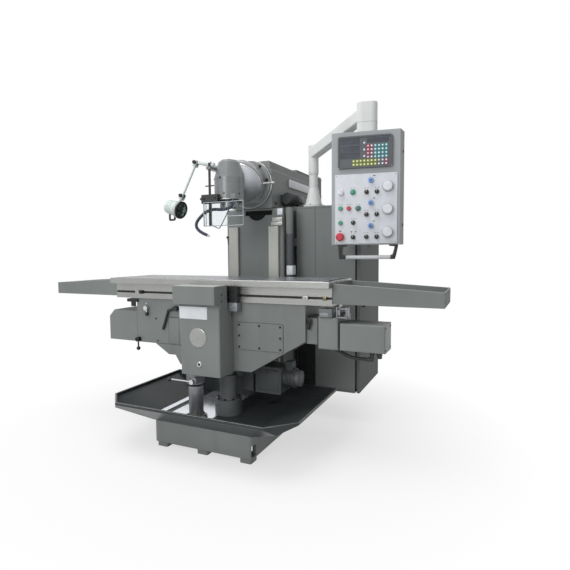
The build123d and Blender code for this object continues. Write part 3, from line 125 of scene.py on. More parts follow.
def math_node(tree, operation, first, second):
    return node(tree, "Math", first, second, operation=operation).outputs[0]


def mix_colours(tree, factor, first, second):
    other_kinds = [None] * 5
    return node(tree, "Mix", factor, *other_kinds, first, second, data_type="RGBA").outputs[2]


def places(tree, coords):
    return node(tree, "SeparateXYZ", coords).outputs


def soft_edges(tree, radius):
    """A normal that rounds sharp edges."""
    return node(tree, "Bevel", radius, samples=4).outputs[0]


def edge_mask(tree, rounded):
    """1 along the edges, where the rounded normal leaves the face's own."""
    own = node(tree, "NewGeometry").outputs["Normal"]
    dot = node(tree, "VectorMath", rounded, own, operation="DOT_PRODUCT")
    return span(tree, dot.outputs["Value"], 0.985, 0.80)


def coat(tree, shader, colour, rough):
    tree.links.new(colour, shader.inputs["Base Color"])
    tree.links.new(rough, shader.inputs["Roughness"])


def relief(tree, shader, height, depth, under):
    bump = node(tree, "Bump")
    bump.inputs["Distance"].default_value = depth
    tree.links.new(height, bump.inputs["Height"])
    tree.links.new(under, bump.inputs["Normal"])
    tree.links.new(bump.outputs[0], shader.inputs["Normal"])
    return bump.outputs[0]


def make_all(maker, recipes):
    for name, (slot, colour, *feel) in recipes.items():
        maker(name, slot, tone(*colour), *feel)
    print(len(recipes), "finishes:", ", ".join(recipes))


print("finish helpers ready")

# %% [markdown]
# ## Machine paint
# The castings carry a thick semi-gloss grey enamel over filler. It is never quite even: broad clouds of
# tone, thin runs of old oil down the sides, a slight orange peel, and rubbed edges where the metal
# begins to show. A Bevel node finds the edges, so no texture has to be painted by hand.

# %% Paint
# Where the painted sheen lies on the ball: a span in depth and a span in height, in metres
SHEEN_Y_SPAN, SHEEN_Z_SPAN = (-0.21, -0.2), (1.66, 1.75)
RUBBED, PAINTED_SHEEN_TONE = tone(178, 178, 174), tone(196, 199, 205)


def machine_paint(name, slot, colour, rough=0.4, grime=0.4, wear=0.45, waves=0.0004, edge=0.0022,
                  gloss=0.2, painted_sheen=None):
    tree, shader, coords = start_finish(name, slot)
    shader.inputs["Specular IOR Level"].default_value = gloss
    clouds = noise(tree, coords, 2.3, 5)
    runs = noise(tree, coords, 7, 6, (1, 1, 0.1))
    shade = mix_colours(tree, span(tree, clouds, 0.35, 0.65), tinted(colour, 0.92), tinted(colour, 1.06))
    # Painted sheen: the upper back of the ball is given a paler colour, as a reflection of a bright room
    # would make it.
    if painted_sheen:
        place = places(tree, coords)
        back, top = span(tree, place["Y"], *SHEEN_Y_SPAN), span(tree, place["Z"], *SHEEN_Z_SPAN)
        shade = mix_colours(tree, math_node(tree, "MULTIPLY", back, top), shade, painted_sheen)
    shade = mix_colours(tree, span(tree, runs, 0.53, 0.8, 0, grime), shade, tinted(colour, 0.55))
    rounded = soft_edges(tree, edge)
    chipped = span(tree, noise(tree, coords, 55, 4), 0.47, 0.62, 0, wear)
    shade = mix_colours(tree, math_node(tree, "MULTIPLY", edge_mask(tree, rounded), chipped), shade, RUBBED)
    coat(tree, shader, shade, span(tree, clouds, 0.3, 0.7, rough - 0.06, rough + 0.1))
    filler = relief(tree, shader, noise(tree, coords, 22, 2), waves, rounded)
    relief(tree, shader, noise(tree, coords, 700, 2), 0.00006, filler)


# Each row: slot, colour, roughness, grime, wear, waves, edge radius, gloss, colour of the sheen painted on
# the ball's upper back
make_all(machine_paint, {
    "grey enamel": ("paint_grey", (127, 131, 130)),
    "grey sheet enamel": ("sheet_grey", (128, 132, 131), 0.55, 0.25, 0.3, 0.00015, 0.0016, 0.04),
    "head enamel": ("paint_grey", (134, 137, 139), 0.26, 0.15, 0.35, 0.0003, 0.0022, 0.5),
    "ball enamel": ("paint_grey", (124, 127, 129), 0.26, 0.15, 0.35, 0.0003, 0.0022, 0.5, PAINTED_SHEEN_TONE),
    # The door enamel is the sheet enamel made darker: painted shade on the door, which faces away from the
    # lamps.
    "door enamel": ("sheet_grey", (110, 113, 113), 0.55, 0.25, 0.3, 0.00015, 0.0016, 0.03),
    "gutter grime enamel": ("paint_dark", (44, 46, 48), 0.8, 0.3, 0.0, 0.0001, 0.0005, 0.0),
    "drive enamel": ("paint_dark", (96, 100, 102), 0.4, 0.5, 0.4),
    "oily dark enamel": ("paint_dark", (60, 64, 66), 0.3, 0.5, 0.4),
    "off-white enamel": ("paint_light", (214, 217, 216), 0.35, 0.18, 0.2, 0.0001, 0.0012),
    "pendant enamel": ("pendant_grey", (170, 173, 175), 0.5, 0.15, 0.3, 0.0001, 0.0012, 0.04),
    "lamp enamel": ("lamp_white", (208, 217, 215), 0.3, 0.1, 0.2, 0.00005, 0.001),
})

# %% [markdown]
# ## Ground and cast metal
# The table, the ways and the screw are ground iron: pale, a little warm, with fine lines along the
# direction in which the wheel ran. Noise stretched sixty times along one axis gives those lines. Cast
# and blackened pieces have a sandy grain instead.

# %% Bare metals
TABLE_TOP = 1.083
WORN_BRIGHT = tone(150, 150, 148)


def ground_metal(name, slot, colour, along, rough=0.36, metal=0.75, stain=0.35, top_shade=None):
    tree, shader, coords = start_finish(name, slot, metal)
    lines = noise(tree, coords, 9, 5, [1.0 if axis == along else 60.0 for axis in "xyz"])
    shade = mix_colours(tree, span(tree, lines, 0.3, 0.7), tinted(colour, 0.96), tinted(colour, 1.02))
    # Painted shade: the top face of the table is given a darker colour than its sides.
    if top_shade:
        top = span(tree, places(tree, coords)["Z"], TABLE_TOP, TABLE_TOP + MM)
        shade = mix_colours(tree, top, shade, top_shade)
    spots = span(tree, noise(tree, coords, 4, 5), 0.52, 0.75, 0, stain)
    shade = mix_colours(tree, spots, shade, tinted(colour, 0.6))
    coat(tree, shader, shade, span(tree, lines, 0.25, 0.75, rough - 0.08, rough + 0.12))
    relief(tree, shader, lines, 0.00002, soft_edges(tree, 0.0014))


def cast_metal(name, slot, colour, rough=0.55, metal=0.4):
    tree, shader, coords = start_finish(name, slot, metal)
    clouds = noise(tree, coords, 6, 4)
    shade = mix_colours(tree, span(tree, clouds, 0.35, 0.65), tinted(colour, 0.8), tinted(colour, 1.2))
    rounded = soft_edges(tree, 0.002)
    rims = math_node(tree, "MULTIPLY", edge_mask(tree, rounded), 0.4)
    coat(tree, shader, mix_colours(tree, rims, shade, WORN_BRIGHT),
         span(tree, clouds, 0.3, 0.7, rough - 0.15, rough + 0.1))
    relief(tree, shader, noise(tree, coords, 260, 3), 0.0003, rounded)


# Each row: slot, colour, direction of the lines, roughness, metal, stain, colour of the painted shade on the
# top face
make_all(ground_metal, {
    "ground table iron": ("machined_steel", (162, 163, 160), "x", 0.26, 0.75, 0.35, tone(134, 136, 141)),
    "ground way iron": ("machined_steel", (168, 169, 164), "z", 0.4, 0.5),
    "turned steel": ("machined_steel", (128, 131, 133), "z", 0.28, 0.7),
    "satin scale metal": ("machined_steel", (182, 183, 180), "y", 0.4, 0.5, 0.1),
    # Near-white metal that paints a reflection of the bright room on the pan floor
    "wet scraped metal": ("machined_steel", (236, 239, 246), "y", 0.16, 0.8, 0.2),
    "polished pillar": ("machined_steel", (220, 223, 228), "z", 0.36, 0.25, 0.12),
    "brass": ("lever_chrome", (128, 118, 96), "x", 0.3, 0.9, 0.2),
    "bright steel": ("lever_chrome", (206, 207, 207), "z", 0.16, 1.0, 0.1),
})
make_all(cast_metal, {
    "dark cast iron": ("cast_dark", (112, 116, 118)),
    "oiled steel": ("machined_steel", (134, 137, 142), 0.4, 0.3),
    "blackened steel": ("cast_dark", (34, 34, 35), 0.42, 0.6),
})

# %% [markdown]
# ## Plastics, rubber and glass
# Moulded pieces have a fine even grain and a colour that hardly varies. The screen and the lenses are
# clear, so they get transmission instead of a surface colour.

# %% Plastics and glass
def moulded(name, slot, colour, rough=0.4, grain=0.00008):
    tree, shader, coords = start_finish(name, slot)
    clouds = noise(tree, coords, 30, 3)
    shade = mix_colours(tree, span(tree, clouds, 0.35, 0.65), tinted(colour, 0.96), tinted(colour, 1.03))
    coat(tree, shader, shade, span(tree, clouds, 0.3, 0.7, rough - 0.05, rough + 0.08))
    relief(tree, shader, noise(tree, coords, 1400, 2), grain, soft_edges(tree, 0.0008))


def clear(name, slot, colour, rough=0.05):
    tree, shader, coords = start_finish(name, slot, 0.0, rough)
    shader.inputs["Transmission Weight"].default_value = 1.0
    shader.inputs["IOR"].default_value = 1.25
    scuffs = noise(tree, coords, 60, 6, (1, 1, 5))
    coat(tree, shader, mix_colours(tree, span(tree, scuffs, 0.5, 0.8), colour, tinted(colour, 0.9)),
         span(tree, scuffs, 0.5, 0.8, rough, rough + 0.25))


# Each row: slot, colour, roughness, depth of the grain
make_all(moulded, {
    "black moulding": ("black_plastic", (32, 33, 35), 0.45),
    "dark grey moulding": ("readout_dark", (84, 87, 92), 0.5),
    "equipment housing": ("readout_dark", (104, 107, 108), 0.5),
    "white moulding": ("white_plastic", (224, 227, 231), 0.35),
    "red moulding": ("red_plastic", (196, 44, 66), 0.3),
    "green moulding": ("green_plastic", (58, 150, 118), 0.3),
    "blue moulding": ("blue_plastic", (62, 102, 172), 0.3),
    "pale grey moulding": ("white_plastic", (186, 190, 196), 0.4),
    "pale blue moulding": ("blue_plastic", (132, 168, 214), 0.3),
    "lens plastic": ("green_plastic", (70, 116, 104), 0.2),
    "black rubber": ("black_rubber", (24, 24, 25), 0.6, 0.0002),
    # Near-black cloth, put in recesses as painted shade
    "bellows cloth": ("black_rubber", (13, 14, 15), 0.9, 0.0003),
    "dark blue hose": ("hose_plastic", (42, 46, 72), 0.35),
    "pale panel": ("panel_pale", (214, 218, 224), 0.42),
    "screen edge": ("white_plastic", (172, 178, 182), 0.2),
    "display glass": ("readout_dark", (66, 70, 80), 0.12, 0.00001),
    "teal key field": ("green_plastic", (44, 108, 114), 0.4),
    "rose key field": ("red_plastic", (124, 54, 74), 0.4),
    "lime key field": ("green_plastic", (98, 108, 42), 0.4),
    "rose key": ("red_plastic", (236, 186, 198), 0.35),
    "lime key": ("green_plastic", (232, 234, 178), 0.35),
    "teal key": ("green_plastic", (212, 232, 234), 0.35),
})
make_all(clear, {
    "clear screen": ("clear_screen", (236, 241, 243)),
    "lamp glass": ("clear_screen", (186, 200, 194), 0.04),
})

# %% [markdown]
# ## Dressing the frame
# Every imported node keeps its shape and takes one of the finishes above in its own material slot. A list
# by finish is easier to read than one by node, because a machine is painted in a few large jobs.

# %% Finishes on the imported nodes
worn = {
    "grey enamel": "base_casting column_casting knee_casting saddle_casting x_feed_housings ram_casting",
    "head enamel": "head_block",
    "ball enamel": "head_body",
    "grey sheet enamel": "cabinet_body knee_cover end_trays ram_cover",
    "door enamel": "cabinet_door",
    "oily dark enamel": "chip_pan ram_motor",
    "drive enamel": "lift_drive",
    "off-white enamel": "arm_post pendant_arm",
    "pendant enamel": "pendant_box",
    "pale panel": "pendant_panel",
    "ground table iron": "table_top",
    "ground way iron": "knee_guides",
    "turned steel": "elevating_screw spindle",
    "oiled steel": "post_clamp",
    "dark cast iron": "elevating_column",
    "bright steel": "post_lever feed_lever",
    "blackened steel": "ball_lever",
    "lamp enamel": "lamp_arm lamp_forearm lamp_head",
    "satin scale metal": "pendant_handle",
    "black moulding": "door_latch mode_selector axis_selector switch_x_left switch_x_right switch_y_left "
                      "switch_y_right switch_z_left switch_z_right limit_switch table_lock_lever "
                      "guard_carrier",
    "dark grey moulding": "readout",
    "red moulding": "stop_mushroom halt_button",
    "green moulding": "start_button coolant_button",
    "blue moulding": "feed_knob_x feed_knob_y feed_knob_z",
    "white moulding": "speed_knob",
    "pale grey moulding": "jog_dial_x jog_dial_y jog_dial_z",
    "black rubber": "motor_cable",
    "clear screen": "guard_screen",
    "dark blue hose": "coolant_hose",
}
for finish, names in worn.items():
    for name in names.split():
        nodes[name].data.materials.clear()
        nodes[name].data.materials.append(finishes[finish])
bare = sorted(set(nodes) - set(" ".join(worn.values()).split()))
print("dressed", len(nodes) - len(bare), "nodes; left bare:", bare)

# %% [markdown]
# ## Places on the machine
# All places are in millimetres from one origin, as on a workshop drawing. A fitting is placed by a point
# and the direction that it faces, which to_track_quat makes into a rotation. Angles could be written by
# hand, but a direction is easier to check.

# %% Places and directions
UP, DOWN, LEFT, RIGHT, FRONT, BACK = (0, 0, 1), (0, 0, -1), (-1, 0, 0), (1, 0, 0), (0, -1, 0), (0, 1, 0)


def at(x, y, z):
    return Vector((x, y, z)) * MM


def moved(x, y, z):
    return Matrix.Translation(at(x, y, z))


def swung(degrees, axis):
    return Matrix.Rotation(math.radians(degrees), 4, axis)


def upright(y):
    """Stands a flat outline up at a depth, with its second number as the height."""
    return moved(0, y, 0) @ swung(90, "X")


def facing(spot, direction, turn=0.0):
    """A place where local Z points along the direction."""
    aim = Vector(direction).to_track_quat("Z", "Y").to_matrix().to_4x4()
    return moved(*spot) @ aim @ swung(turn, "Z")


def arc(radius, first, last, steps, centre=(0.0, 0.0)):
    angles = [math.radians(first + (last - first) * step / steps) for step in range(steps + 1)]
    return [(centre[0] + radius * math.cos(a), centre[1] + radius * math.sin(a)) for a in angles]


def around(count, centre, radius, height, start=0.0):
    return [(centre[0] + x, centre[1] + y, height)
            for x, y in arc(radius, start, start + 360 - 360 / count, count - 1)]


def rounded_outline(radius, steps, corners):
    """Four corner centres, each with the angle at which its quarter round starts."""
    return [spot for first, centre in corners for spot in arc(radius, first, first + 90, steps, centre)]


print("places ready")

# %% [markdown]
# ## Helpers for small pieces
# Three kinds of shape make nearly every fitting on a machine: blocks with rounded edges, flat outlines
# given a thickness, and outlines turned round an axis as on a lathe. Each helper makes one such shape in
# a bmesh of its own, and gather() joins a list of them into one piece, each at its own place and angle.
# Spin can turn a shape inside out, so its normals are recalculated after the doubles are merged.

# %% Shapes
def gather(shapes):
    """One bmesh from many: each is a shape, or a shape with the place it goes to."""
    whole = bmesh.new()
    for shape in shapes:
        part, place = shape if isinstance(shape, tuple) else (shape, None)
        mesh = bpy.data.meshes.new("part")
        part.to_mesh(mesh)
        part.free()
        if place:
            mesh.transform(place)
        whole.from_mesh(mesh)
        bpy.data.meshes.remove(mesh)
    return whole


def round_edges(bm, width, steps):
    if width:
        bmesh.ops.bevel(bm, geom=bm.edges[:], offset=width * MM, offset_type="OFFSET", segments=steps,
                        profile=0.5, affect="EDGES", material=-1, clamp_overlap=True)
    return bm


def block(low, high, width=1.5, steps=2):
    bm = bmesh.new()
    bmesh.ops.create_cube(bm, size=1)
    for vert in bm.verts:
        vert.co = at(*[a + (c + 0.5) * (b - a) for a, b, c in zip(low, high, vert.co)])
    return round_edges(bm, width, steps)


def strip(low, high, width):
    """A thin block with a single small chamfer."""
    return block(low, high, width, 1)


def sheet_of(outline, thickness, width=0.6, steps=1):
    """A flat outline in local X and Y, thickened along local Z."""
    bm = bmesh.new()
    face = bm.faces.new([bm.verts.new((x * MM, y * MM, 0)) for x, y in outline])
    made = bmesh.ops.extrude_face_region(bm, geom=[face])
    raised = [item for item in made["geom"] if isinstance(item, bmesh.types.BMVert)]
    bmesh.ops.translate(bm, vec=(0, 0, thickness * MM), verts=raised)
    bmesh.ops.recalc_face_normals(bm, faces=bm.faces[:])
    return round_edges(bm, width, steps)


def turned(outline, steps=32, closed=False):
    """An outline of (radius, height) turned round local Z."""
    bm = bmesh.new()
    verts = [bm.verts.new((radius * MM, 0, height * MM)) for radius, height in outline]
    pairs = list(zip(verts, verts[1:])) + ([(verts[-1], verts[0])] if closed else [])
    edges = [bm.edges.new(pair) for pair in pairs]
    bmesh.ops.spin(bm, geom=verts + edges, cent=(0, 0, 0), axis=UP, angle=math.tau, steps=steps,
                   use_merge=True)
    bmesh.ops.remove_doubles(bm, verts=bm.verts[:], dist=1e-7)
    bmesh.ops.recalc_face_normals(bm, faces=bm.faces[:])
    return bm


def ring(outline, steps):
    return turned(outline, steps, closed=True)


def collar(inner, outer, length, edge, steps, start=0.0):
    end = start + length
    return ring([(inner, start), (outer, start + edge), (outer, end - edge), (inner, end)], steps)


def hoop(radius, thickness, steps):
    return ring(arc(thickness, 0, 315, 7, (radius, 0)), steps)


def rod(radius, length, steps=24):
    return turned([(0, 0), (radius, 0), (radius, length), (0, length)], steps)


def cap_screw(radius=6.0, head=5.0):
    socket = radius * 0.5
    return turned([(0, head * 0.4), (socket, head * 0.4), (socket, head), (radius * 0.88, head),
                   (radius, head * 0.85), (radius, 0)], 12)


def screws(spots, direction, radius=6.0, head=5.0):
    """Cap screws, each with its socket turned a little further, as a fitter leaves them."""
    return [(cap_screw(radius, head), facing(spot, direction, 17.0 * index))
            for index, spot in enumerate(spots)]


print("shapes ready")

# %% [markdown]
# ## From shape to piece
# A piece needs a mesh, smooth faces with sharp creases, a finish and the body that it rides on. One
# function does all of that, so no piece can be left behind when a joint moves. Cables and bent wires
# are curves, because a curve keeps an even thickness round every bend.

# %% Pieces on bodies
CREASE = math.radians(35)


def mount(piece, body):
    show(piece)
    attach(piece, body)
    return piece


def add_piece(name, shape, finish, body, place=None):
    bm = gather(shape) if isinstance(shape, list) else shape
    bmesh.ops.recalc_face_normals(bm, faces=bm.faces[:])
    mesh = bpy.data.meshes.new(name)
    bm.to_mesh(mesh)
    bm.free()
    if place:
        mesh.transform(place)
    mesh.polygons.foreach_set("use_smooth", [True] * len(mesh.polygons))
    mesh.set_sharp_from_angle(angle=CREASE)
    mesh.materials.append(finishes[finish])
    return mount(bpy.data.objects.new(name, mesh), body)


def tube(name, points, radius, finish, body, sides=3):
    curve = bpy.data.curves.new(name, "CURVE")
    curve.dimensions = "3D"
    curve.bevel_depth = radius * MM
    curve.bevel_resolution = sides
    curve.use_fill_caps = True
    line = curve.splines.new("NURBS")
    line.points.add(len(points) - 1)
    for point, spot in zip(line.points, points):
        point.co = (*at(*spot), 1)
    line.order_u = 3
    line.use_endpoint_u = True
    curve.materials.append(finishes[finish])
    return mount(bpy.data.objects.new(name, curve), body)


print("mesh helpers ready")

# %% [markdown]
# ## The cable under the feed motor
# A stiff black lead leaves the bracket, sags and runs into the elbow below the motor. Its control points
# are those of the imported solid; a NURBS spline of order 3 rounds them in one smooth line.

# %% Motor cable
CABLE_Y = -450
cable_points = [(x, CABLE_Y, z) for x, z in ((834, 689), (880, 663), (940, 653), (1004, 653))]
motor_lead = tube("motor_lead", cable_points, 10, "black rubber", "saddle", 6)
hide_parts("motor_cable")
print("motor lead from", cable_points[0], "to", cable_points[-1])

# %% [markdown]
# ## The coolant pipe
# The pipe is a chain of moulded ball sockets that keeps any bend it is given. A smooth tube would lose
# the joints, so turned cups are placed one by one along a spline through the route's points, and the
# last one carries a pale tapered nozzle.

# %% Coolant pipe of ball sockets
LINK_PITCH = 14 * MM
pipe_points = [(80, -325, 1600), (80, -325, 1554), (10, -329, 1532), (-80, -330, 1542), (-150, -330, 1517),
               (-222, -330, 1450), (-190, -330, 1394), (-129, -330, 1372)]
guide = tube("guide", pipe_points, 0, "dark blue hose", "head", 0)
guide.data.splines[0].resolution_u = 24
path_mesh = bpy.data.meshes.new_from_object(guide)
path = [vert.co.copy() for vert in path_mesh.vertices]
bpy.data.objects.remove(guide)
bpy.data.meshes.remove(path_mesh)
cup = [(0, 0.5), (7, 0.5), (9.8, 3), (11.2, 7), (11.2, 10), (9.4, 13), (8.4, 15.4), (0, 15.4)]
links, walked, due = [], 0.0, 0.0
for here, there in zip(path, path[1:]):
    step = (there - here).length
    while due <= walked + step:
        links.append((turned(cup, 16), facing(here.lerp(there, (due - walked) / step) / MM, there - here)))
        due += LINK_PITCH
    walked += step
pipe = add_piece("coolant_pipe", links, "dark blue hose", "head")
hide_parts("coolant_hose")
tip = (path[-1] - path[-4]).normalized()
nozzle = turned([(3, 0), (8.6, 0), (8.6, 5), (7, 8), (4.6, 24), (2.8, 24), (2.8, 4)], 20)
add_piece("coolant_nozzle", nozzle, "satin scale metal", "head", facing(path[-1] / MM, tip))
print("coolant pipe", round(walked / MM), "mm long,", len(links), "links")

# %% [markdown]
# ## Chip pan and base
# The pan is black with oil. Its flat floor and a strip on the left wing are near-white metal: a painted
# reflection of the bright room. A thin polished sheet over the floor gives that contrast, with a rounded
# bead along the folded upper edge.

# %% Pan floor, reflection strip and rim bead
WING_SLOPE = math.degrees(math.atan(1 / 2.545))


def beads(corners, radius):
    """A round bead along every run from one corner to the next."""
    runs = [Vector([b - a for a, b in zip(first, last)]) for first, last in zip(corners, corners[1:])]
    made = []
    for first, run in zip(corners, runs):
        end = run.length
        outline = [(0, 0), (radius * 0.75, 0.6), (radius, 2), (radius, end - 2), (radius * 0.75, end - 0.6),
                   (0, end)]
        made.append((turned(outline, 8), facing(first, run)))
    return made


# The floor sheet and the wing strip are near-white metal: a painted reflection of the bright room.
add_piece("pan_floor_sheet", strip((-330, -612, 179.2), (-12, 30, 180.4), 0.4), "wet scraped metal", "frame")
add_piece("pan_reflection_strip", strip((-14, -230, 0), (14, 230, 0.6), 0.2), "wet scraped metal", "frame",
          moved(-384, -340, 191) @ swung(WING_SLOPE, "Y"))
rim = [(-523, -797), (523, -797), (668, -652), (668, 39), (-668, 39), (-668, -652)]
outer = [(x * 0.9965, y * 0.997 + 0.2, 313.2) for x, y in rim]
add_piece("pan_rim_bead", beads(outer[-1:] + outer[:4], 2.4), "satin scale metal", "frame")
welds = [block((x - 3, y - 14, 173), (x + 3, y + 14, 177), 1.4)
         for x in (-339, 339) for y in range(-560, 0, 140)]
add_piece("pan_weld_beads", welds, "oily dark enamel", "frame")
drain = [turned([(0, 3), (16, 3), (18, 1.5), (26, 1.2), (27, 0)], 24)]
drain += [(turned([(0, 0.3), (2.4, 0.3), (2.4, 0)], 8), facing(spot, UP)) for spot in around(8, (0, 0), 9, 3)]
add_piece("pan_drain_grid", drain, "blackened steel", "frame", facing((210, -40, 180.4), UP))
print("pan dressed")

# %% [markdown]
# ## Bolted flanges
# The guide post, the elevating column and the arm post stand on flanges held by socket bolts. The guide
# post is polished: a bright sleeve is turned round it, with a rubber wiper where the knee slides on it.
# A circle of bolts is one turned screw repeated round the flange's centre, which keeps the spacing exact.

# %% Flange bolts, wiper and sleeve
GUIDE_POST, ELEVATOR, ARM_POST = (-87, -545), (24, -330), (382, 350)
bolts = screws(around(6, GUIDE_POST, 58.5, 213, 15), UP, 7.5, 8)
bolts += screws(around(8, ELEVATOR, 73, 281, 10), UP, 8, 9)
bolts += screws(around(6, ARM_POST, 75.5, 1606, 30), UP, 6.5, 5)
add_piece("flange_bolts", bolts, "blackened steel", "frame")
wiper = ring([(46.5, 0), (54, 0), (56, 2), (56, 9), (52, 13), (46.5, 13)], 40)
add_piece("post_wiper", wiper, "black rubber", "knee", facing((*GUIDE_POST, 413.8), UP))
sleeve = collar(46.02, 46.14, 500.4, 0.4, 64)
add_piece("post_sleeve", sleeve, "polished pillar", "frame", facing((*GUIDE_POST, 213.4), UP))
print(len(bolts), "bolts, wiper and post sleeve set")

# %% [markdown]
# ## Column and its services
# A sleeve and a ribbed dark hose cover the conduit beside the column. The hose is one zigzag outline
# turned round its axis, which is lighter than modelling every rib. Folds of black cloth in the throat under
# the ram are painted shade, and small blocks and a lever sit beside the ways.

# %% Column fittings
CONDUIT = (275, 135)
sleeve = turned([(25.2, 0), (26, 0.8), (26, 184), (25.2, 186)], 40)
add_piece("conduit_sleeve", sleeve, "grey sheet enamel", "frame", facing((*CONDUIT, 1390), UP))
ripple = [(25.2 + 1.8 * (step % 2), 4.0 * step) for step in range(97)]
add_piece("conduit_hose", turned(ripple, 24), "dark grey moulding", "frame", facing((*CONDUIT, 1002), UP))
add_piece("conduit_box", block((262, 104, 1088), (310, 164, 1156), 4, 3), "white moulding", "frame")
# Black lining and folds in the throat: painted shade in the recess.
opening = [(149.4, 1561.4), (-72.4, 1561.4), (-72.4, 1527.6)]
opening += arc(84.4, 214.2, 325.8, 18, (25, 1575)) + [(149.4, 1527.6)]
throat_shade = [(sheet_of(opening, 4, 0.5), upright(118))]
throat_shade += [block((-70, 109, z), (147, 115, z + 4), 1.2) for z in (1533, 1543, 1553)]
add_piece("throat_painted_shade", throat_shade, "bellows cloth", "frame")
stops = [block((150, 83, 1447), (238, 104, 1476), 2.5), block((158, 87, 1477), (236, 104, 1508), 2.5)]
stops += screws([(166, 83, 1461), (222, 83, 1461), (172, 87, 1493), (224, 87, 1493)], FRONT, 6, 3)
add_piece("way_end_block", stops, "satin scale metal", "frame")
add_piece("junction_cover", block((197, 90, 1524), (238, 104, 1570), 3), "white moulding", "frame")
hub = turned([(0, 14), (6, 14), (8, 12), (8, 0)], 20)
stick = turned([(0, 0), (3.5, 0), (3, 40), (4.5, 44), (4.5, 52), (0, 54)], 14)
lever = [hub, (stick, facing((0, 0, 9), (0.25, -1, 0.1)))]
add_piece("column_lever", lever, "blackened steel", "frame", facing((-229, 104, 1372), FRONT))
plates = []
for low, high in ((520, 1120), (1180, 1440)):
    plates += [block((-150, 604.2, low), (150, 609, high), 2)]
    plates += screws([(x, 609, z) for x in (-132, 0, 132) for z in (low + 18, high - 18)], BACK, 7)
plates += [block((-245, 250, 640), (-240.2, 470, 1060), 2)]
plates += screws([(-245, y, z) for y in (268, 452) for z in (658, 850, 1042)], LEFT, 7)
add_piece("column_cover_plates", plates, "grey enamel", "frame")
print("column fittings made")

# %% [markdown]
# ## Cabinet
# The electrical cabinet is folded sheet: a black seal shows as a dark line beside the door, and
# louvres break up the door. A louvre could be cut with a boolean, but a small folded cup set on the
# sheet looks the same and keeps the mesh clean.

# %% Cabinet seal, seams and louvres
edges = ((271, 233, 298.6, 1581), (827.4, 233, 855, 1581), (271, 1553.4, 855, 1581), (271, 233, 855, 260.6))
seal = [block((731.2, y0, z0), (745.1, y1, z1)) for y0, z0, y1, z1 in edges]
add_piece("door_seal", seal, "black rubber", "frame")
seams = [strip((425.6, 259.4, 228), (428.4, 260.4, 1586), 0.3)]
seams += [strip((282, 259.5, z), (728, 260.4, z + 2), 0.3) for z in (1577, 236)]
add_piece("cabinet_seams", seams, "oily dark enamel", "frame")
# Black folds on the lower left of the cabinet front: painted shade in the gap beside the column.
folds = [block((281, 256.5 - fold % 2, 232 + 48 * fold), (424.5, 260.2, 280 + 48 * fold), 1.2)
         for fold in range(16)]
add_piece("painted_shade_apron", folds, "bellows cloth", "frame")
scoop = [(-70, 0), (70, 0), (70, 3), (60, 9), (-60, 9), (-70, 3)]
louvres = [(sheet_of(scoop, 4.5, 1.2, 2), moved(766.6, 560, z) @ swung(90, "Z") @ swung(90, "X"))
           for z in range(1290, 1473, 26)]
add_piece("door_louvres", louvres, "door enamel", "cabinet_door")
gland = [(6, 34), (11, 33), (13, 26), (13, 18), (18, 17), (18, 6), (21, 5), (21, 0)]
glands = [(turned(gland, 18), facing((x, 866, 300), BACK)) for x in range(360, 601, 60)]
add_piece("cabinet_glands", glands, "black moulding", "frame")
plugs = [(turned([(0, 10), (13, 10), (15, 8), (15, 0)], 6), facing((x, y, 1592), UP))
         for y in (292, 834) for x in (310, 700)]
add_piece("cabinet_lifting_plugs", plugs, "blackened steel", "frame")
print("cabinet closed with", len(louvres), "louvres")

# %% [markdown]
# ## Drive rack
# The door opens, so something has to stand behind it: a mounting plate with two rows of drive units,
# slotted wire ducts and a row of terminals. All of it is blocks in loops, which is how such a rack repeats.

# %% Drive rack inside the cabinet
DUCTS = (1126, 762, 520)
add_piece("rack_plate", block((290, 312, 300), (294, 814, 1516), 1), "satin scale metal", "frame")
units, fins = [], []
for z0, z1 in ((1180, 1470), (820, 1110)):
    for y0 in (332, 492, 652):
        units += [block((294, y0, z0), (430, y0 + 140, z1), 4, 3),
                  block((430, y0 + 14, z1 - 90), (436, y0 + 126, z1 - 20), 2)]
        fins += [strip((300, y, z1), (420, y + 3, z1 + 14), 0.6) for y in range(y0 + 10, y0 + 123, 14)]
add_piece("drive_units", units, "equipment housing", "frame")
add_piece("drive_fins", fins, "blackened steel", "frame")
ducts = [block((294, 318, z), (344, 808, z + 42), 2) for z in DUCTS]
ducts += [strip((344, y, z + 3), (346.5, y + 8, z + 39), 0.5) for z in DUCTS for y in range(326, 791, 16)]
add_piece("wire_ducts", ducts, "white moulding", "frame")
terminals = [block((294, y, 590), (340, y + 13, 660)) for y in range(336, 772, 15)]
add_piece("terminal_row", terminals, "lime key field", "frame")
print("cabinet furnished:", len(terminals), "terminals")

# %% [markdown]
# ## Knee
# An off-white plate sits on four pins at the front of the knee. Below it are the round cover of the
# crank hole and an oil sight, and the screws of the gib and of the top cover show at the sides. Cover
# and sight could be bevelled cylinders, but a turned outline gives every step of the profile at once.

# %% Knee front
KNEE_FACE = -618
plate = [block((-145, -620.6, 847), (59, -617.6, 924), 2, 3)]
plate += screws([(x, -620.6, z) for x in (-136, 50) for z in (856, 915)], FRONT, 3, 1.2)
add_piece("bare_sign_plate", plate, "white moulding", "knee")
disc = [turned([(0, 4), (56, 4), (59, 3.4), (61, 1.8), (61, 0)], 56), (cap_screw(5, 3), moved(0, 0, 4))]
add_piece("crank_hole_cover", disc, "ground table iron", "knee", facing((-12, KNEE_FACE, 733), FRONT))
sight = facing((-4, KNEE_FACE, 568), FRONT)
rim = turned([(9, 1.5), (10, 6), (15, 6), (17, 4), (17, 0)], 28)
add_piece("oil_sight_rim", rim, "bright steel", "knee", sight)
window = turned([(0, 3.2), (6, 2.8), (9.4, 1.6), (9.4, 0)], 24)
add_piece("oil_sight_window", window, "black moulding", "knee", sight)
gib = screws([(side * 190, 40.9, z) for side in (-1, 1) for z in (530, 620, 710, 800)], FRONT, 9, 8)
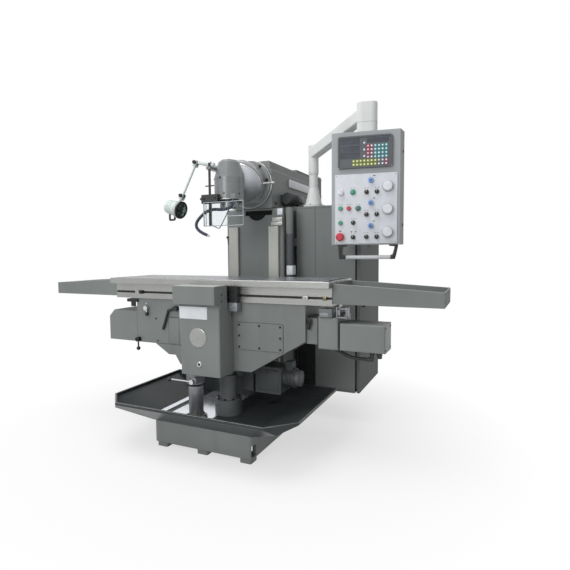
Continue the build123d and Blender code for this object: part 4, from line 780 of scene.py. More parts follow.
for side in (-1, 1):
    gib += screws([(side * 151, -600, z) for z in (960, 1000)], (side, 0, 0), 5, 3)
add_piece("knee_screws", gib, "blackened steel", "knee")
top = strip((-148, -678, 1051.6), (148, -538, 1053.4), 0.8)
add_piece("cover_top_plate", top, "satin scale metal", "knee")
print("knee front dressed")

# %% [markdown]
# ## Lift drive
# A gearbox with a flanged motor hangs under the knee and turns the elevating screw. Cooling fins are
# separate collars round the motor, because deep ribs need real edges to throw a shadow.

# %% Lift drive under the knee
LIFT_MOTOR = (-180, 420)
cover = [block((206, -264, 336), (364, -260, 478), 2)]
cover += screws([(x, -264, z) for x in (218, 285, 352) for z in (348, 466)], FRONT, 6, 4)
add_piece("lift_cover", cover, "drive enamel", "knee")
fins = [(collar(60.2, 66, 5, 1, 48), facing((x, *LIFT_MOTOR), RIGHT)) for x in range(392, 448, 11)]
add_piece("lift_motor_fins", fins, "drive enamel", "knee")
shroud = [turned([(0, 30), (20, 30), (46, 29), (52.6, 24), (52.6, 0)], 40)]
shroud += [(turned([(0, 0.6), (4.2, 0.6), (4.6, 0)], 10), facing(spot, UP))
           for spot in around(12, (0, 0), 34, 30)]
add_piece("lift_fan_cover", shroud, "equipment housing", "knee", facing((461.4, *LIFT_MOTOR), RIGHT))
print("lift drive dressed")

# %% [markdown]
# ## Saddle
# The front of the saddle carries a bolted cover plate on the right and a raised gear cover on the left.
# Heads of cap screws are turned with their sockets, so they catch light as real ones do. Dark joints are
# thin strips, because a line painted in a material would blur at its ends.

# %% Saddle front
SADDLE_FACE = -459
outline = rounded_outline(8, 3, ((180, (180, 657)), (270, (481, 657)), (0, (481, 811)), (90, (180, 811))))
add_piece("saddle_cover", sheet_of(outline, 5, 0.8), "grey enamel", "saddle", upright(SADDLE_FACE))
gasket = [(x + math.copysign(1.6, x - 330), z + math.copysign(1.6, z - 735)) for x, z in outline]
add_piece("saddle_cover_joint", sheet_of(gasket, 0.8, 0), "oily dark enamel", "saddle", upright(SADDLE_FACE))
spots = [(x, -464, z) for z in (803, 735, 665) for x in (190, 330, 472) if (x, z) != (330, 735)]
heads = screws(spots, FRONT, 6.5) + screws([(-466, SADDLE_FACE, 806), (-455, SADDLE_FACE, 654)], FRONT, 6, 4)
add_piece("saddle_screws", heads, "blackened steel", "saddle")
add_piece("saddle_gear_cover", block((-358, -462, 646), (-146, -459, 820), 1.2), "grey enamel", "saddle")
lines = [strip((-362, -459.6, 642), (-358.4, -458.6, 824), 0.2),
         strip((-362, -459.6, 820.4), (-146, -458.6, 824), 0.2),
         strip((-470, -459.6, 636), (-146, -458.6, 639), 0.2),
         strip((-275, -462.6, 648), (-272.6, -461.6, 818), 0.2)]
add_piece("saddle_joint_lines", lines, "oily dark enamel", "saddle")
wiper = [block((-713, -470, 915), (-616, -440, 937), 3), block((-680, -466, 884), (-646, -452, 916), 2)]
add_piece("left_wiper", wiper, "black rubber", "saddle")
add_piece("oil_nipples", screws([(-547, SADDLE_FACE, 905)], FRONT, 5), "bright steel", "saddle")
print("saddle front dressed")

# %% [markdown]
# ## Feed drive fittings
# The feed motor at the right has a switch, a forked bracket, a connector and an elbow for its lead. The
# elbow is two rods with a turned ball at the corner, which is quicker than bending a tube.

# %% Limit switch and feed motor fittings
angle = [block((149, -520.4, 893.4), (209, -517.8, 945), 0.8)]
angle += [block((x, -519, 893.4), (x + 3, -459.3, 943.4), 0.8) for x in (148.8, 206.2)]
angle += [block((150, -519, 892.4), (208, -459.3, 894), 0.5)]
angle += screws([(165, -520.4, 918), (193, -520.4, 918)], FRONT, 6, 4)
add_piece("switch_bracket", angle, "oiled steel", "saddle")
add_piece("feed_switch", block((728, -494, 881.2), (806, -440, 930), 3), "equipment housing", "saddle")
label = [block((734, -495.4, 884), (784, -493.8, 906), 0.6)]
label += screws([(740, -495.4, 895), (778, -495.4, 895)], FRONT, 2.4, 1)
add_piece("feed_switch_plate", label, "oiled steel", "saddle")
fork = [block((x, -494, 884), (x + 8, -440, 942)) for x in (829, 884)]
fork += [block((829, -494, 881.4), (892, -440, 888)), (rod(5, 63, 14), facing((829, -467, 930), RIGHT))]
add_piece("feed_bracket", fork, "oiled steel", "saddle")
plug = turned([(0, 34), (10, 34), (12, 32), (12, 20), (15, 19), (15, 8), (18, 7), (18, 0)], 24)
add_piece("feed_connector", plug, "black moulding", "saddle", facing((1064, CABLE_Y, 697), (0.1, 0, -1)))
nuts = [(collar(12, 14.5, 9, 0, 6), facing((1024, CABLE_Y, 684), UP)),
        (collar(10.2, 14.5, 10, 0, 6), facing((1000, CABLE_Y, 653), RIGHT))]
add_piece("elbow_nuts", nuts, "black moulding", "saddle")
corner = facing((1024, CABLE_Y, 653), UP)
elbow = [(rod(11.5, 20), facing((1004, CABLE_Y, 653), RIGHT)), (rod(11.5, 43.8), corner),
         (turned(arc(11.5, -90, 90, 10), 24), corner),
         (rod(11.5, 22), facing((834.4, CABLE_Y, 688.8), (-46, 0, 26)))]
add_piece("gland_sleeves", elbow, "black moulding", "saddle")
joints = [strip((716.8, -486.8, 699), (719.2, -240, 880), 0.4), block((640, -461, 828), (668, -452, 866), 2),
          block((644, -464, 800), (660, -452, 828), 2)]
add_piece("feed_joint_strip", joints, "blackened steel", "saddle")
caps = screws([(1102, y, z) for y in (-468, -344) for z in (714, 834)], RIGHT, 5, 3)
caps += screws([(-894, y, z) for y in (-438, -194) for z in (656, 788)], LEFT, 6, 4)
add_piece("feed_screws", caps, "blackened steel", "saddle")
print("feed drives dressed")

# %% [markdown]
# ## Levers
# Chrome rods with black ball knobs. A knob is one outline turned round its own axis, with a flat where
# the rod enters, and it rides on the lever that it belongs to.

# %% Ball knobs
knobs = {"post_lever": (14, (-219, -635.3, 458), LEFT), "feed_lever": (12, (-535, -474.3, 836), DOWN),
         "ball_lever": (13, (-616, -474.3, 592), DOWN)}
for name, (radius, spot, way) in knobs.items():
    neck = [(radius * 0.45, -radius * 1.12), (radius * 0.6, -radius * 0.95)]
    ball = turned(neck + arc(radius + 0.5, -50, 90, 14), 32)
    add_piece(name + "_knob", ball, "black moulding", name, facing(spot, way))
print("ball knobs set:", list(knobs))

# %% [markdown]
# ## Table and trays
# Trip dogs sit in the groove along the front of the table and reverse the feed when they reach the
# switch. The trays are folded sheet, so their open edges are hemmed: a thin bead runs round each rim.
# Folding the sheet itself would be harder, and at this size the bead looks the same.

# %% Table fittings
# A black strip in the dog groove: painted shade in the recess.
groove_shade = strip((-798, -464.5, 980.4), (798, -461.2, 993.6), 0.4)
add_piece("dog_groove_painted_shade", groove_shade, "black rubber", "table")
# Dark strips on the gutter floors: painted shade in the gutters, and the oil that gathers there.
runs = ((-516.6, -405), (-385, -315), (-295, -225), (-205, -93.4))
shade_and_oil = [strip((x - 9.6, low, 1074.7), (x + 9.6, high, 1084.4), 0.1) for x in (-765, 765) for low, high in runs]
shade_and_oil += [strip((-755, y - 9.6, 1074.7), (755, y + 9.6, 1080), 0.6) for y in (-507, -103)]
add_piece("gutter_shade_and_oil", shade_and_oil, "gutter grime enamel", "table")


def dog(x, width):
    return [block((x - width / 2, -483, 975), (x + width / 2, -470, 999), 2),
            block((x - width / 4, -471, 981), (x + width / 4, -462, 993), 1),
            (cap_screw(), facing((x, -483, 987), FRONT))]


add_piece("steel_dogs", dog(-608, 30) + dog(640, 34), "satin scale metal", "table")
add_piece("dark_dogs", dog(-572, 26), "blackened steel", "table")
add_piece("brass_dog", dog(758, 22), "brass", "table")
hem, feet = [], []
for side in (-1, 1):
    corners = [(802, -464, 1070), (1397.5, -464, 1036.5), (1397.5, -102, 1036.5), (802, -102, 1070)]
    hem += beads([(side * x, y, z) for x, y, z in corners], 2.2)
    x = side * 836.5
    for y in (-400, -170):
        feet += [block((x - 33.5, y - 14, 957), (x + 33.5, y + 14, 962.5), 1.4)]
        feet += screws([(x - 12, y, 962.5), (x + 12, y, 962.5)], UP, 6, 4)
add_piece("tray_hems", hem, "satin scale metal", "table")
add_piece("tray_feet", feet, "blackened steel", "table")
print("table and trays dressed")

# %% [markdown]
# ## Ram
# A pale cover strip runs along the right side of the ram. Screws hold the gibs, a lifting eye stands on
# the top, and the ring on the front carries a bright edge with a degree scale for the swivel. The marks
# are one thin strip, turned round the ring's axis in steps of five degrees.

# %% Ram fittings
SWIVEL_Z, MOTOR_X, MOTOR_Z = 1748, 215, 1655
bar = [block((165.4, 372, 1757), (181, 1030, 1818), 3, 3)]
bar += screws([(181, y, 1787) for y in (392, 600, 800, 1010)], RIGHT, 6, 3)
add_piece("ram_cover_strip", bar, "white moulding", "ram")
pins = []
for side in (-1, 1):
    pins += screws([(side * 165, y, 1612) for y in range(130, 881, 150)], (side, 0, 0), 8, 7)
    pins += screws([(side * 150, y, z) for y in (1090, 1165) for z in (1625, 1780, 1925)], (side, 0, 0), 5, 3)
pins += screws([(x, y, 1935) for x in (-110, 110) for y in (625, 1045)], UP, 6, 4)
add_piece("ram_screws", pins, "blackened steel", "ram")
eye = [turned([(0, 8), (16, 8), (18, 6), (18, 0)], 28), (hoop(17, 5.5, 40), moved(0, 0, 29) @ swung(90, "X"))]
add_piece("lifting_eye_front", eye, "blackened steel", "ram", facing((0, 300, 1912), UP))
vents = [strip((side * 150 - 0.4, 1082, z), (side * 150 + 0.4, 1168, z + 6), 0.3)
         for side in (-1, 1) for z in range(1650, 1759, 18)]
add_piece("ram_vent_slots", vents, "black rubber", "ram")
edge = [collar(171.5, 172.5, 7, 0.6, 96), (hoop(170.4, 2.0, 96), moved(0, 0, 0.4))]
add_piece("swivel_ring_edge", edge, "bright steel", "ram", facing((0, 49, SWIVEL_Z), BACK))
ticks = [(strip((-0.5, 58, 172.2), (0.5, 63 if degree % 15 else 67, 172.7), 0.1),
          moved(0, 0, SWIVEL_Z) @ swung(degree, "Y")) for degree in range(-90, 91, 5)]
add_piece("swivel_scale_marks", ticks, "black moulding", "ram")
cooling = [(collar(40.2, 45, 4, 0.8, 40), facing((MOTOR_X, y, MOTOR_Z), BACK)) for y in range(228, 369, 14)]
cooling += [(turned([(0, 66), (30, 66), (42, 62), (43, 56), (43, 0), (40.2, 0)], 40),
             facing((MOTOR_X, 414.5, MOTOR_Z), BACK))]
add_piece("ram_motor_fins", cooling, "oily dark enamel", "ram")
print("ram dressed:", len(ticks), "scale marks")

# %% [markdown]
# ## Universal head
# Two turned joints let the spindle point anywhere: one round the ram, one across the ball at 45 degrees.
# Each joint shows as a bright ring. Placing those rings needs only the joint's axis and centre. The
# flange has a flat below, so its edge is a full hoop cut with bisect_plane.

# %% Joint rings, nuts and rod
NUT_CIRCLE = 153
tilt, ball = (0, 1, 1), (0, -90, SWIVEL_Z)
rings = [ring([(149, 1), (151.2, 1.2), (151.6, 2.4), (151.3, 9.4), (149, 10.4)], 96),
         ring([(144, 36.6), (147.2, 37.8), (145.4, 43.4), (142.6, 44)], 96)]
add_piece("joint_rings", rings, "bright steel", "head_block", facing(ball, tilt))
edge = gather([(hoop(163.6, 2.0, 96), facing((0, 29, SWIVEL_Z), BACK))])
whole = edge.verts[:] + edge.edges[:] + edge.faces[:]
bmesh.ops.bisect_plane(edge, geom=whole, plane_co=at(0, 29, 1640), plane_no=UP, clear_inner=True)
bmesh.ops.holes_fill(edge, edges=[e for e in edge.edges if e.is_boundary])
add_piece("flange_edge", edge, "bright steel", "head_block")
nuts = []
for degree in (-38, 0, 38, 82, 262):
    turn = math.radians(degree)
    spot = (NUT_CIRCLE * math.sin(turn), 25.2, SWIVEL_Z + NUT_CIRCLE * math.cos(turn))
    washer = turned([(0, 1.6), (11, 1.6), (11.5, 0)], 20)
    nut = turned([(0, 12), (7.2, 12), (9, 10.2), (9, 0)], 6)
    nuts.append((gather([washer, nut]), facing(spot, FRONT, degree)))
add_piece("swivel_nuts", nuts, "blackened steel", "head_block")
rod_foot = (118, -38, 1736)
pin = turned([(0, 0), (5, 0), (5, 92), (8, 93), (9, 97), (9, 112), (7.5, 115), (0, 115)], 20)
add_piece("locating_rod", pin, "bright steel", "head_block", facing(rod_foot, (86, 90, 14)))
boss = turned([(0, 9), (9, 9), (12, 7), (13, 0)], 24)
add_piece("locating_rod_boss", boss, "head enamel", "head_block", facing(rod_foot, (0.75, -0.6, 0)))
print("head block dressed:", len(nuts), "nuts")

# %% [markdown]
# ## Spindle head
# The barrel ends in a machined rim and a bolted nose flange, and a cap closes the drawbar on the top.
# All are rings turned round the spindle's axis, so one point on that axis places each of them.

# %% Barrel rim, nose flange and plugs
SPINDLE, BARREL_RADIUS = (0, -241), 99
rim = ring([(88, 0), (100.6, 0), (102.2, 1.6), (102.2, 5), (100.2, 7), (88, 7)], 72)
add_piece("barrel_rim", rim, "satin scale metal", "head", facing((*SPINDLE, 1599.6), UP))
flange = [ring([(66, 0), (82, 0), (84, 2), (84, 9), (66, 9)], 56)]
flange += screws(around(6, (0, 0), 75, 0), DOWN, 5, 4)
add_piece("nose_flange", flange, "blackened steel", "head", facing((*SPINDLE, 1590.6), UP))
cap = [ring([(26, 0), (54, 0), (57, 1.5), (57, 5), (54, 7), (26, 7)], 56)]
cap += screws(around(6, (0, 0), 42, 7), UP, 5, 4)
add_piece("drawbar_collar", cap, "ball enamel", "head", facing((*SPINDLE, 1858.8), UP))
plugs = []
for degree, z, radius in ((-96, 1742, 7), (-80, 1640, 5), (-20, 1640, 5), (-150, 1742, 6)):
    way = (math.cos(math.radians(degree)), math.sin(math.radians(degree)), 0)
    spot = (BARREL_RADIUS * way[0], SPINDLE[1] + BARREL_RADIUS * way[1], z)
    plugs.append((cap_screw(radius, 4), facing(spot, way)))
add_piece("barrel_plugs", plugs, "blackened steel", "head")
print("head dressed")

# %% [markdown]
# ## Guard screen
# The clear screen gets a light lower rail, a folded edge and a bent wire stay. Clear plastic is hard to
# see on white, and it is the pale rails round it that draw its outline.

# %% Guard fittings
rails = [block((-120, -378, 1424.4), (180, -370.4, 1429), 1.2),
         block((-120, -377.4, 1577.4), (180, -371, 1581.6), 1),
         block((-120.4, -377.4, 1429), (-117, -371, 1577), 1),
         block((177, -377.4, 1429), (180.4, -371, 1577), 1),
         block((64, -377.6, 1484), (178, -375.6, 1489), 0.8),
         block((-120.4, -347, 1430), (-116.4, -343.6, 1570), 1)]
add_piece("screen_rails", rails, "screen edge", "guard")
fold = block((-120, -372.4, 1428), (-116.8, -344, 1572), 0.6)
add_piece("screen_side_fold", fold, "clear screen", "guard")
bends = ((-52, 1576), (-54, 1500), (-54, 1440), (-50, 1430), (-34, 1424), (-4, 1409), (8, 1412), (23, 1434),
         (81, 1531), (96, 1560))
tube("screen_stay", [(x, -381, z) for x, z in bends], 3, "dark grey moulding", "guard")
lower = turned([(0, 0), (6.5, 0), (8, 1.5), (8, 146), (0, 146)], 24)
add_piece("guard_lower_rod", lower, "blackened steel", "guard", facing((-80, -357, 1430), UP))
thumb = [(0, 16), (7, 16), (9, 14), (9, 4), (5, 3), (5, 0)]
thumbs = [(turned(thumb, 12), facing((x, -357, 1608), way)) for x, way in ((-12, RIGHT), (-138, LEFT))]
thumbs += screws([(-117, -372, 1608), (-33, -372, 1608)], FRONT, 7, 4)
add_piece("guard_thumb_screws", thumbs, "blackened steel", "guard")
print("guard dressed")

# %% [markdown]
# ## Lamp
# The lamp's front is a black ring with a thin grid over the glass and a reflector behind it. Every part
# is built round the lamp's own axis, so one matrix at the front face places nearly all of them.

# %% Lamp head
LAMP_LENGTH = 132
aim = Vector((0.96, -0.06, -0.27)).normalized()
front = Vector((-397, -245, 1556))
face = facing(front, aim)
mouth = [(60.2, -9), (61.4, -8.6), (62.6, -7), (62.6, 0), (61.6, 2), (60, 2.6), (50, 2.6), (50, 1), (53.4, 1),
         (53.4, -2), (60.2, -2)]
add_piece("lamp_finned_ring", ring(mouth, 64), "black moulding", "lamp_head", face)
mirror = [ring([(9, -14.5), (18, -13.8), (36, -10.5), (52.6, -4), (52.8, -5), (36, -12), (9, -15.6)], 48),
          turned([(0, -7)] + arc(7.5, 80, -80, 8, (0, -13))[:8], 20)]
add_piece("lamp_reflector", mirror, "bright steel", "lamp_head", face)
grid = [(strip((-1.6, -51, 0.8), (1.6, 51, 2.4), 0.4), swung(degree, "Z")) for degree in (0, 60, 120)]
grid += [collar(13, 17, 1.6, 0, 32, 0.8)]
add_piece("lamp_face_grid", grid, "black moulding", "lamp_head", face)
bands = [collar(60.2, 62, 4, 0.6, 56, z) for z in (-30, -23, -16)]
add_piece("lamp_ring_ribs", bands, "lamp enamel", "lamp_head", face)
pane = turned([(0, 0.6), (30, 0.2), (52.8, -1.4), (52.8, -3.6), (30, -2.4), (0, -2)], 48)
add_piece("lamp_glass", pane, "lamp glass", "lamp_head", face)
back = front - aim * LAMP_LENGTH
ribs = []
for along in (24, 38, 52, 66):
    r = 47 + 5 * (along + 2) / 100  # the bell widens by 5 mm in 100
    ribs.append((ring([(r, 0), (r + 1.8, 0.6), (r + 1.8, 4), (r + 0.4, 5)], 48),
                 facing(back + aim * along, aim)))
add_piece("lamp_bell_ribs", ribs, "lamp enamel", "lamp_head")
print("lamp head dressed")

# %% [markdown]
# ## Lamp handle and arm
# A bent black grip hangs under the lamp, and black thumb screws tighten the joints of the arm. The grip
# is a curve, because a bent bar keeps its thickness round the corners; the screws and bands are turned.

# %% Lamp handle and arm
root, heel = back + aim * 20, back + aim * 68
low = root.z - 95
grip = [tuple(root), (root.x, root.y, low + 8), (root.x, root.y, low), (heel.x, heel.y, low),
        (heel.x, heel.y, low + 8), tuple(heel)]
tube("lamp_handle_grip", grip, 7.2, "black moulding", "lamp_head", 4)
reach = Vector((-136, 0, 25))
taper = ring([(8.2, 0), (18, 1), (19, 4), (12, 98), (11, 100), (8.2, 100)], 32)
add_piece("lamp_arm_taper", taper, "lamp enamel", "lamp_arm",
          facing(Vector((-126, -241, 1852)) + reach.normalized() * 18, reach))
thumb = [(0, 30), (11, 30), (13, 27), (13, 16), (9, 13), (6.2, 12), (6.2, 0), (0, 0)]
for name, x, z, body in (("elbow", -262, 1877, "lamp_arm"), ("wrist", -384, 1657, "lamp_forearm")):
    screw, band = turned(thumb, 18), collar(13.1, 14.6, 16, 0.6, 32)
    add_piece("lamp_" + name + "_screw", screw, "black moulding", body, facing((x, -248, z), FRONT))
    add_piece("lamp_" + name + "_band", band, "black moulding", body, facing((x, -233, z), FRONT))
print("lamp dressed")

# %% [markdown]
# ## Pendant: readout
# The control pendant stands turned a little towards the operator. Its pieces are built flat, with u across,
# depth and height, and one matrix carries them to their place. The readout has dark windows and a field
# of small round keys on coloured patches.

# %% Readout windows and keys
PENDANT_TURN = swung(9, "Z")
WINDOWS = (1944, 1899, 1857)
desk = moved(883, -40, 0) @ PENDANT_TURN
windows = [strip((-164, -14.6, z - 17), (-40, -13.4, z + 17), 0.5) for z in WINDOWS]
windows += [strip((4, -14.6, 1931), (138, -13.4, 1960), 0.5)]
add_piece("readout_windows", windows, "display glass", "pendant", desk)
rims = [strip((-167, -15.4, z + low), (-37, -13.6, z + low + 2.5), 0.6)
        for z in WINDOWS for low in (17, -19.5)]
add_piece("readout_window_rims", rims, "dark grey moulding", "pendant", desk)
columns = [-78 + 22.4 * step for step in range(10)]
rows = [1912 - 22.6 * step for step in range(6)]
fields = {"teal key field": [(6, 9, 0, 3)], "rose key field": [(4, 5, 0, 2), (9, 9, 4, 5)],
          "lime key field": [(0, 6, 4, 5)]}
for finish, patches in fields.items():
    patch = [strip((columns[c0] - 10.6, -14.5, rows[r1] - 10.6),
                   (columns[c1] + 10.6, -13.6, rows[r0] + 10.6), 0.4) for c0, c1, r0, r1 in patches]
    add_piece(finish.replace(" ", "_") + "_field", patch, finish, "pendant", desk)
pale = [(columns[5], z) for z in rows[:4]] + [(u, z) for u in columns[7:] for z in rows[4:]]
pale += [(columns[3] - 1, z) for z in (1932, 1890, 1850)]
keys = {"pale": ("white moulding", pale),
        "rose": ("rose key", [(columns[4], z) for z in rows[:4]]),
        "lime": ("lime key", [(u, z) for u in columns[:7] for z in rows[4:]]),
        "teal": ("teal key", [(u, z) for u in columns[6:] for z in rows[:4]])}
for colour, (finish, spots) in keys.items():
    key = [(0, 2.2), (4, 2.0), (5.8, 1.3), (6.4, 0)]
    pads = [(turned(key, 14), facing((u, -14.2, z), FRONT)) for u, z in spots]
    add_piece("readout_" + colour + "_keys", pads, finish, "pendant", desk)
print("readout dressed:", sum(len(spots) for finish, spots in keys.values()), "keys")

# %% [markdown]
# ## Pendant: panel
# Most controls have marks above them and a collar under them, and two domed lenses stand between them.
# Marks are thin raised strips instead of an image, so they stay sharp from close up and need no unwrapping.

# %% Panel marks, collars and lenses
PANEL = -6
turning = {"mode_selector": (-81, 1437), "axis_selector": (-81, 1345), "switch_x_left": (3, 1628),
           "switch_x_right": (67, 1628), "switch_y_left": (3, 1487), "switch_y_right": (67, 1487),
           "switch_z_left": (3, 1346), "switch_z_right": (67, 1346)}
feeds = {"feed_knob_x": (29, 1700), "feed_knob_y": (29, 1560), "feed_knob_z": (29, 1416)}
dials = {"jog_dial_x": (134, 1659), "jog_dial_y": (134, 1517), "jog_dial_z": (134, 1374)}
pushes = {"start_button": (-162, 1529), "halt_button": (-109, 1528), "coolant_button": (-162, 1437)}
lamps = {"lamp_lens_bright": (-83, 1630), "lamp_lens_dim": (-50, 1527)}
ringed = [*turning.values(), *pushes.values()]


def mark(u, z, half, height):
    return strip((u - half, -6.5, z), (u + half, -5.9, z + height), 0.2)


marks = [mark(u + shift, z + 24, 4, 2.5) for u, z in ringed + [*lamps.values()] for shift in (-9, 9)]
for u, z in feeds.values():
    marks += [mark(u + 21, z + 26, 7, 5)]
    marks += [strip((x - 0.5, -6.4, y - 0.5), (x + 0.5, -5.9, y + 0.5), 0.1)
              for x, y in arc(21, -45, 225, 10, (u, z))]
marks += [mark(-164, 1382, 8, 6), mark(-92, 1377, 6, 5), mark(-64, 1377, 6, 5)]
add_piece("panel_marks", marks, "black moulding", "pendant", desk)
narrow = [(14, 0), (17, 0), (17, 1.4), (16, 2.4), (14, 2.4)]
wide = [(17.2, 0), (19.4, 0), (19.4, 1.4), (18.6, 2.4), (17.2, 2.4)]
collars = [(ring(shape, 28), facing((u, PANEL, z), FRONT))
           for shape, spots in ((narrow, ringed), (wide, lamps.values())) for u, z in spots]
add_piece("control_collars", collars, "satin scale metal", "pendant", desk)
dome = [(0, 12.8), (8, 12.2), (13.8, 10.6), (16.7, 8.4), (17.5, 5.4), (17.5, 0)]
for (name, (u, z)), finish in zip(lamps.items(), ("green moulding", "lens plastic")):
    add_piece(name, turned(dome, 28), finish, "pendant", desk @ facing((u, PANEL, z), FRONT))
heads = screws([(u, PANEL, z) for u in (-187, 182) for z in (1313, 1733)], FRONT, 4.5, 2)
heads += screws([(u, -18, z) for u in (-174, 156) for z in (1782, 1973)], FRONT, 2.6, 1)
add_piece("panel_screws", heads, "satin scale metal", "pendant", desk)
print("panel marked:", len(marks), "marks")

# %% [markdown]
# ## Pendant: controls
# Where a control turns it has a pointer, and a dial has a ring of ticks. These ride on the controls
# themselves, so they follow when a knob is turned.

# %% Pointers and scales on the controls
def on_control(name, ending, shape, finish, u, depth, z):
    add_piece(name + ending, shape, finish, name, desk @ facing((u, depth, z), FRONT))


for name, (u, z) in turning.items():
    bar = strip((u - 1.2, -29.4, z + 1), (u + 1.2, -28.2, z + 11), 0.4)
    add_piece(name + "_pointer", bar, "white moulding", name, desk)
for name, (u, z) in feeds.items():
    cap = turned([(0, 1.6), (9, 1.4), (14, 0.2), (16.3, -4), (16.6, -19.4)], 32)
    on_control(name, "_cap", cap, "pale blue moulding", u, -26.3, z)
    middle = turned([(0, 1), (8, 0.8), (9, 0), (9, -1.4)], 28)
    on_control(name, "_centre", middle, "blue moulding", u, -27.9, z)
    bar = strip((u - 1.2, -29.6, z + 2), (u + 1.2, -28.4, z + 9), 0.4)
    add_piece(name + "_pointer", bar, "pale panel", name, desk)
for name, (u, z) in dials.items():
    ticks = [(strip((-0.5, 31.4, 0), (0.5, 33.6, 0.5), 0.1), swung(18 * step, "Z")) for step in range(20)]
    on_control(name, "_ticks", ticks, "dark grey moulding", u, -24.2, z)
    crown = [turned([(24.4, -3.6), (24.4, 1), (28.4, 1.8), (29.6, 3.4), (29.2, 12), (27, 14.4), (0, 15)], 48),
             (turned([(4.4, 14.7), (5.4, 15.6), (6.4, 14.7)], 20), moved(15, 10.5, 0))]
    on_control(name, "_crown", crown, "white moulding", u, -24.2, z)
u, z = -160, 1628
dome = turned([(0, 2), (11, 1.6), (15.4, 0), (17, -3), (18.3, -20), (20, -21.6), (20, -23)], 40)
on_control("speed_knob", "_cap", dome, "white moulding", u, -29.4, z)
bar = strip((u - 1, -32.2, z + 2), (u + 1, -31.2, z + 12), 0.3)
add_piece("speed_knob_pointer", bar, "dark grey moulding", "speed_knob", desk)
print("controls marked")

# %% [markdown]
# ## Pendant: handle, sides and arm
# The handle is a pale tube between two black brackets that taper towards it. The brackets are flat
# outlines given a thickness and rounded, which is how a cast bracket of this kind looks.

# %% Handle and box fittings
left_leg = [(-181, 1295.5), (-125, 1295.5), (-125, 1288), (-152, 1284), (-155, 1234), (-134, 1229),
            (-134, 1203.5), (-172, 1203.5), (-176, 1230), (-181, 1286)]
right_leg = [(199, 1295.5), (143, 1295.5), (143, 1288), (178, 1284), (166, 1236), (152, 1229), (152, 1203.5),
             (180, 1203.5), (188, 1232), (199, 1286)]
legs = [(sheet_of(shape, 50, 2.4, 2), upright(64)) for shape in (left_leg, right_leg)]
brackets = add_piece("handle_brackets", legs, "black moulding", "pendant", desk)
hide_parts("pendant_handle")
bar = turned([(0, 0), (11.4, 0), (12.8, 1.4), (12.8, 290.6), (11.4, 292), (0, 292)], 32)
add_piece("handle_tube", bar, "white moulding", "pendant", desk @ facing((-137, 39, 1216), RIGHT))
locks = []
for z in (1420, 1880):
    lock = [turned([(0, 4), (8, 4), (10, 2.6), (10, 0)], 24), strip((-1.4, -6, 3.6), (1.4, 6, 4.4), 0.3)]
    locks.append((gather(lock), facing((223.6, 60, z), (95, -22, 0))))
add_piece("pendant_locks", locks, "blackened steel", "pendant", desk)
seams = [strip((u0, 70, 1300), (u1, 73, 2003), 0.3) for u0, u1 in ((225.6, 226.8), (-221.5, -220.6))]
add_piece("pendant_seams", seams, "oily dark enamel", "pendant", desk)
back = [block((-180, 95, 1330), (180, 98, 1975))]
back += screws([(u, 98, z) for u in (-168, 168) for z in (1342, 1652, 1963)], BACK, 5, 3)
add_piece("pendant_back_cover", back, "pendant enamel", "pendant", desk)
lid = [turned([(0, 6), (35, 6), (38, 4), (38.6, 0)], 40)] + screws(around(3, (0, 0), 26, 6), UP, 5, 3)
add_piece("arm_socket_lid", lid, "off-white enamel", "pendant_arm", facing((*ARM_POST, 2044), UP))
band = rounded_outline(36.6, 8, ((0, (28, 10)), (90, (-28, 10)), (180, (-28, -10)), (270, (28, -10))))
add_piece("housing_joint", sheet_of(band, 2.5, 0.3), "pendant enamel", "pendant_arm",
          moved(875.57, 6.92, 2065) @ PENDANT_TURN)
foot = ring([(33.2, 0), (37, 0.8), (37, 13), (33.2, 14)], 40)
add_piece("arm_post_collar", foot, "off-white enamel", "frame", facing((*ARM_POST, 1836), UP))
print("pendant dressed")

# %% [markdown]
# ## Studio floor
# The floor is plain and pale, and fades to the white of the backdrop away from the machine, so only the
# soft shadow under it remains. More light would also whiten the floor, but it would bleach the paint, so
# Light Path mixes the white in only for rays that are seen.

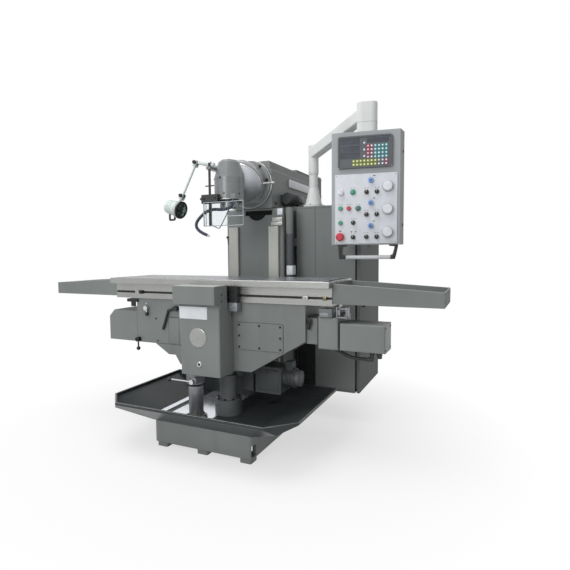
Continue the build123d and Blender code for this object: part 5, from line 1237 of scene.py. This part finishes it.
# %% Floor
def seen_rays(tree):
    """1 for rays from the camera, from mirrors and through glass, and 0 for light on the machine."""
    rays = node(tree, "LightPath").outputs
    seen = math_node(tree, "MAXIMUM", rays["Is Camera Ray"], rays["Is Glossy Ray"])
    return math_node(tree, "MAXIMUM", seen, rays["Is Transmission Ray"])


floor_mesh = bpy.data.meshes.new("floor")
bm = bmesh.new()
bmesh.ops.create_grid(bm, x_segments=1, y_segments=1, size=30)
bm.to_mesh(floor_mesh)
bm.free()
floor = bpy.data.objects.new("floor", floor_mesh)
show(floor)
tree, shader, coords = start_finish("pale floor", None, 0.0, 0.9)
shader.inputs["Base Color"].default_value = (0.9, 0.9, 0.9, 1)
distance = node(tree, "VectorMath", coords, operation="LENGTH").outputs["Value"]
fade = math_node(tree, "MULTIPLY", span(tree, distance, 0.7, 1.9, 0.62, 1.0), seen_rays(tree))
white = node(tree, "Emission").outputs[0]
blend = node(tree, "MixShader", fade, shader.outputs[0], white)
tree.links.new(blend.outputs[0], tree.nodes["Material Output"].inputs["Surface"])
floor_mesh.materials.append(finishes["pale floor"])
print("floor laid")

# %% [markdown]
# ## Studio light
# The world is white to the camera and to reflections, and a gentle grey to everything else. A large
# overhead lamp and a front lamp give the planes their steps. They are area lamps, because a sun or a point
# lamp would draw hard shadows.

# %% World and lamps
def soft_lamp(name, spot, aim, size, power):
    light = bpy.data.lights.new(name, "AREA")
    light.size = size
    light.energy = power
    lamp = bpy.data.objects.new(name, light)
    direction = Vector(aim) - Vector(spot)
    lamp.matrix_world = Matrix.Translation(spot) @ direction.to_track_quat("-Z", "Y").to_matrix().to_4x4()
    show(lamp)


scene.world = bpy.data.worlds.new("studio")
scene.world.use_nodes = True
tree = scene.world.node_tree
sky = tree.nodes["Background"].inputs
tree.links.new(span(tree, seen_rays(tree), 0, 1, 0.43, 1.0), sky["Strength"])
sky["Color"].default_value = (1, 1, 1, 1)
soft_lamp("overhead lamp", (-0.6, -1.2, 4.6), (0, 0, 1), 3.0, 95)
soft_lamp("front lamp", (-0.5, -4.8, 2.6), (0, 0, 1.1), 2.0, 70)
scene.view_settings.view_transform = "Standard"
print("studio ready")
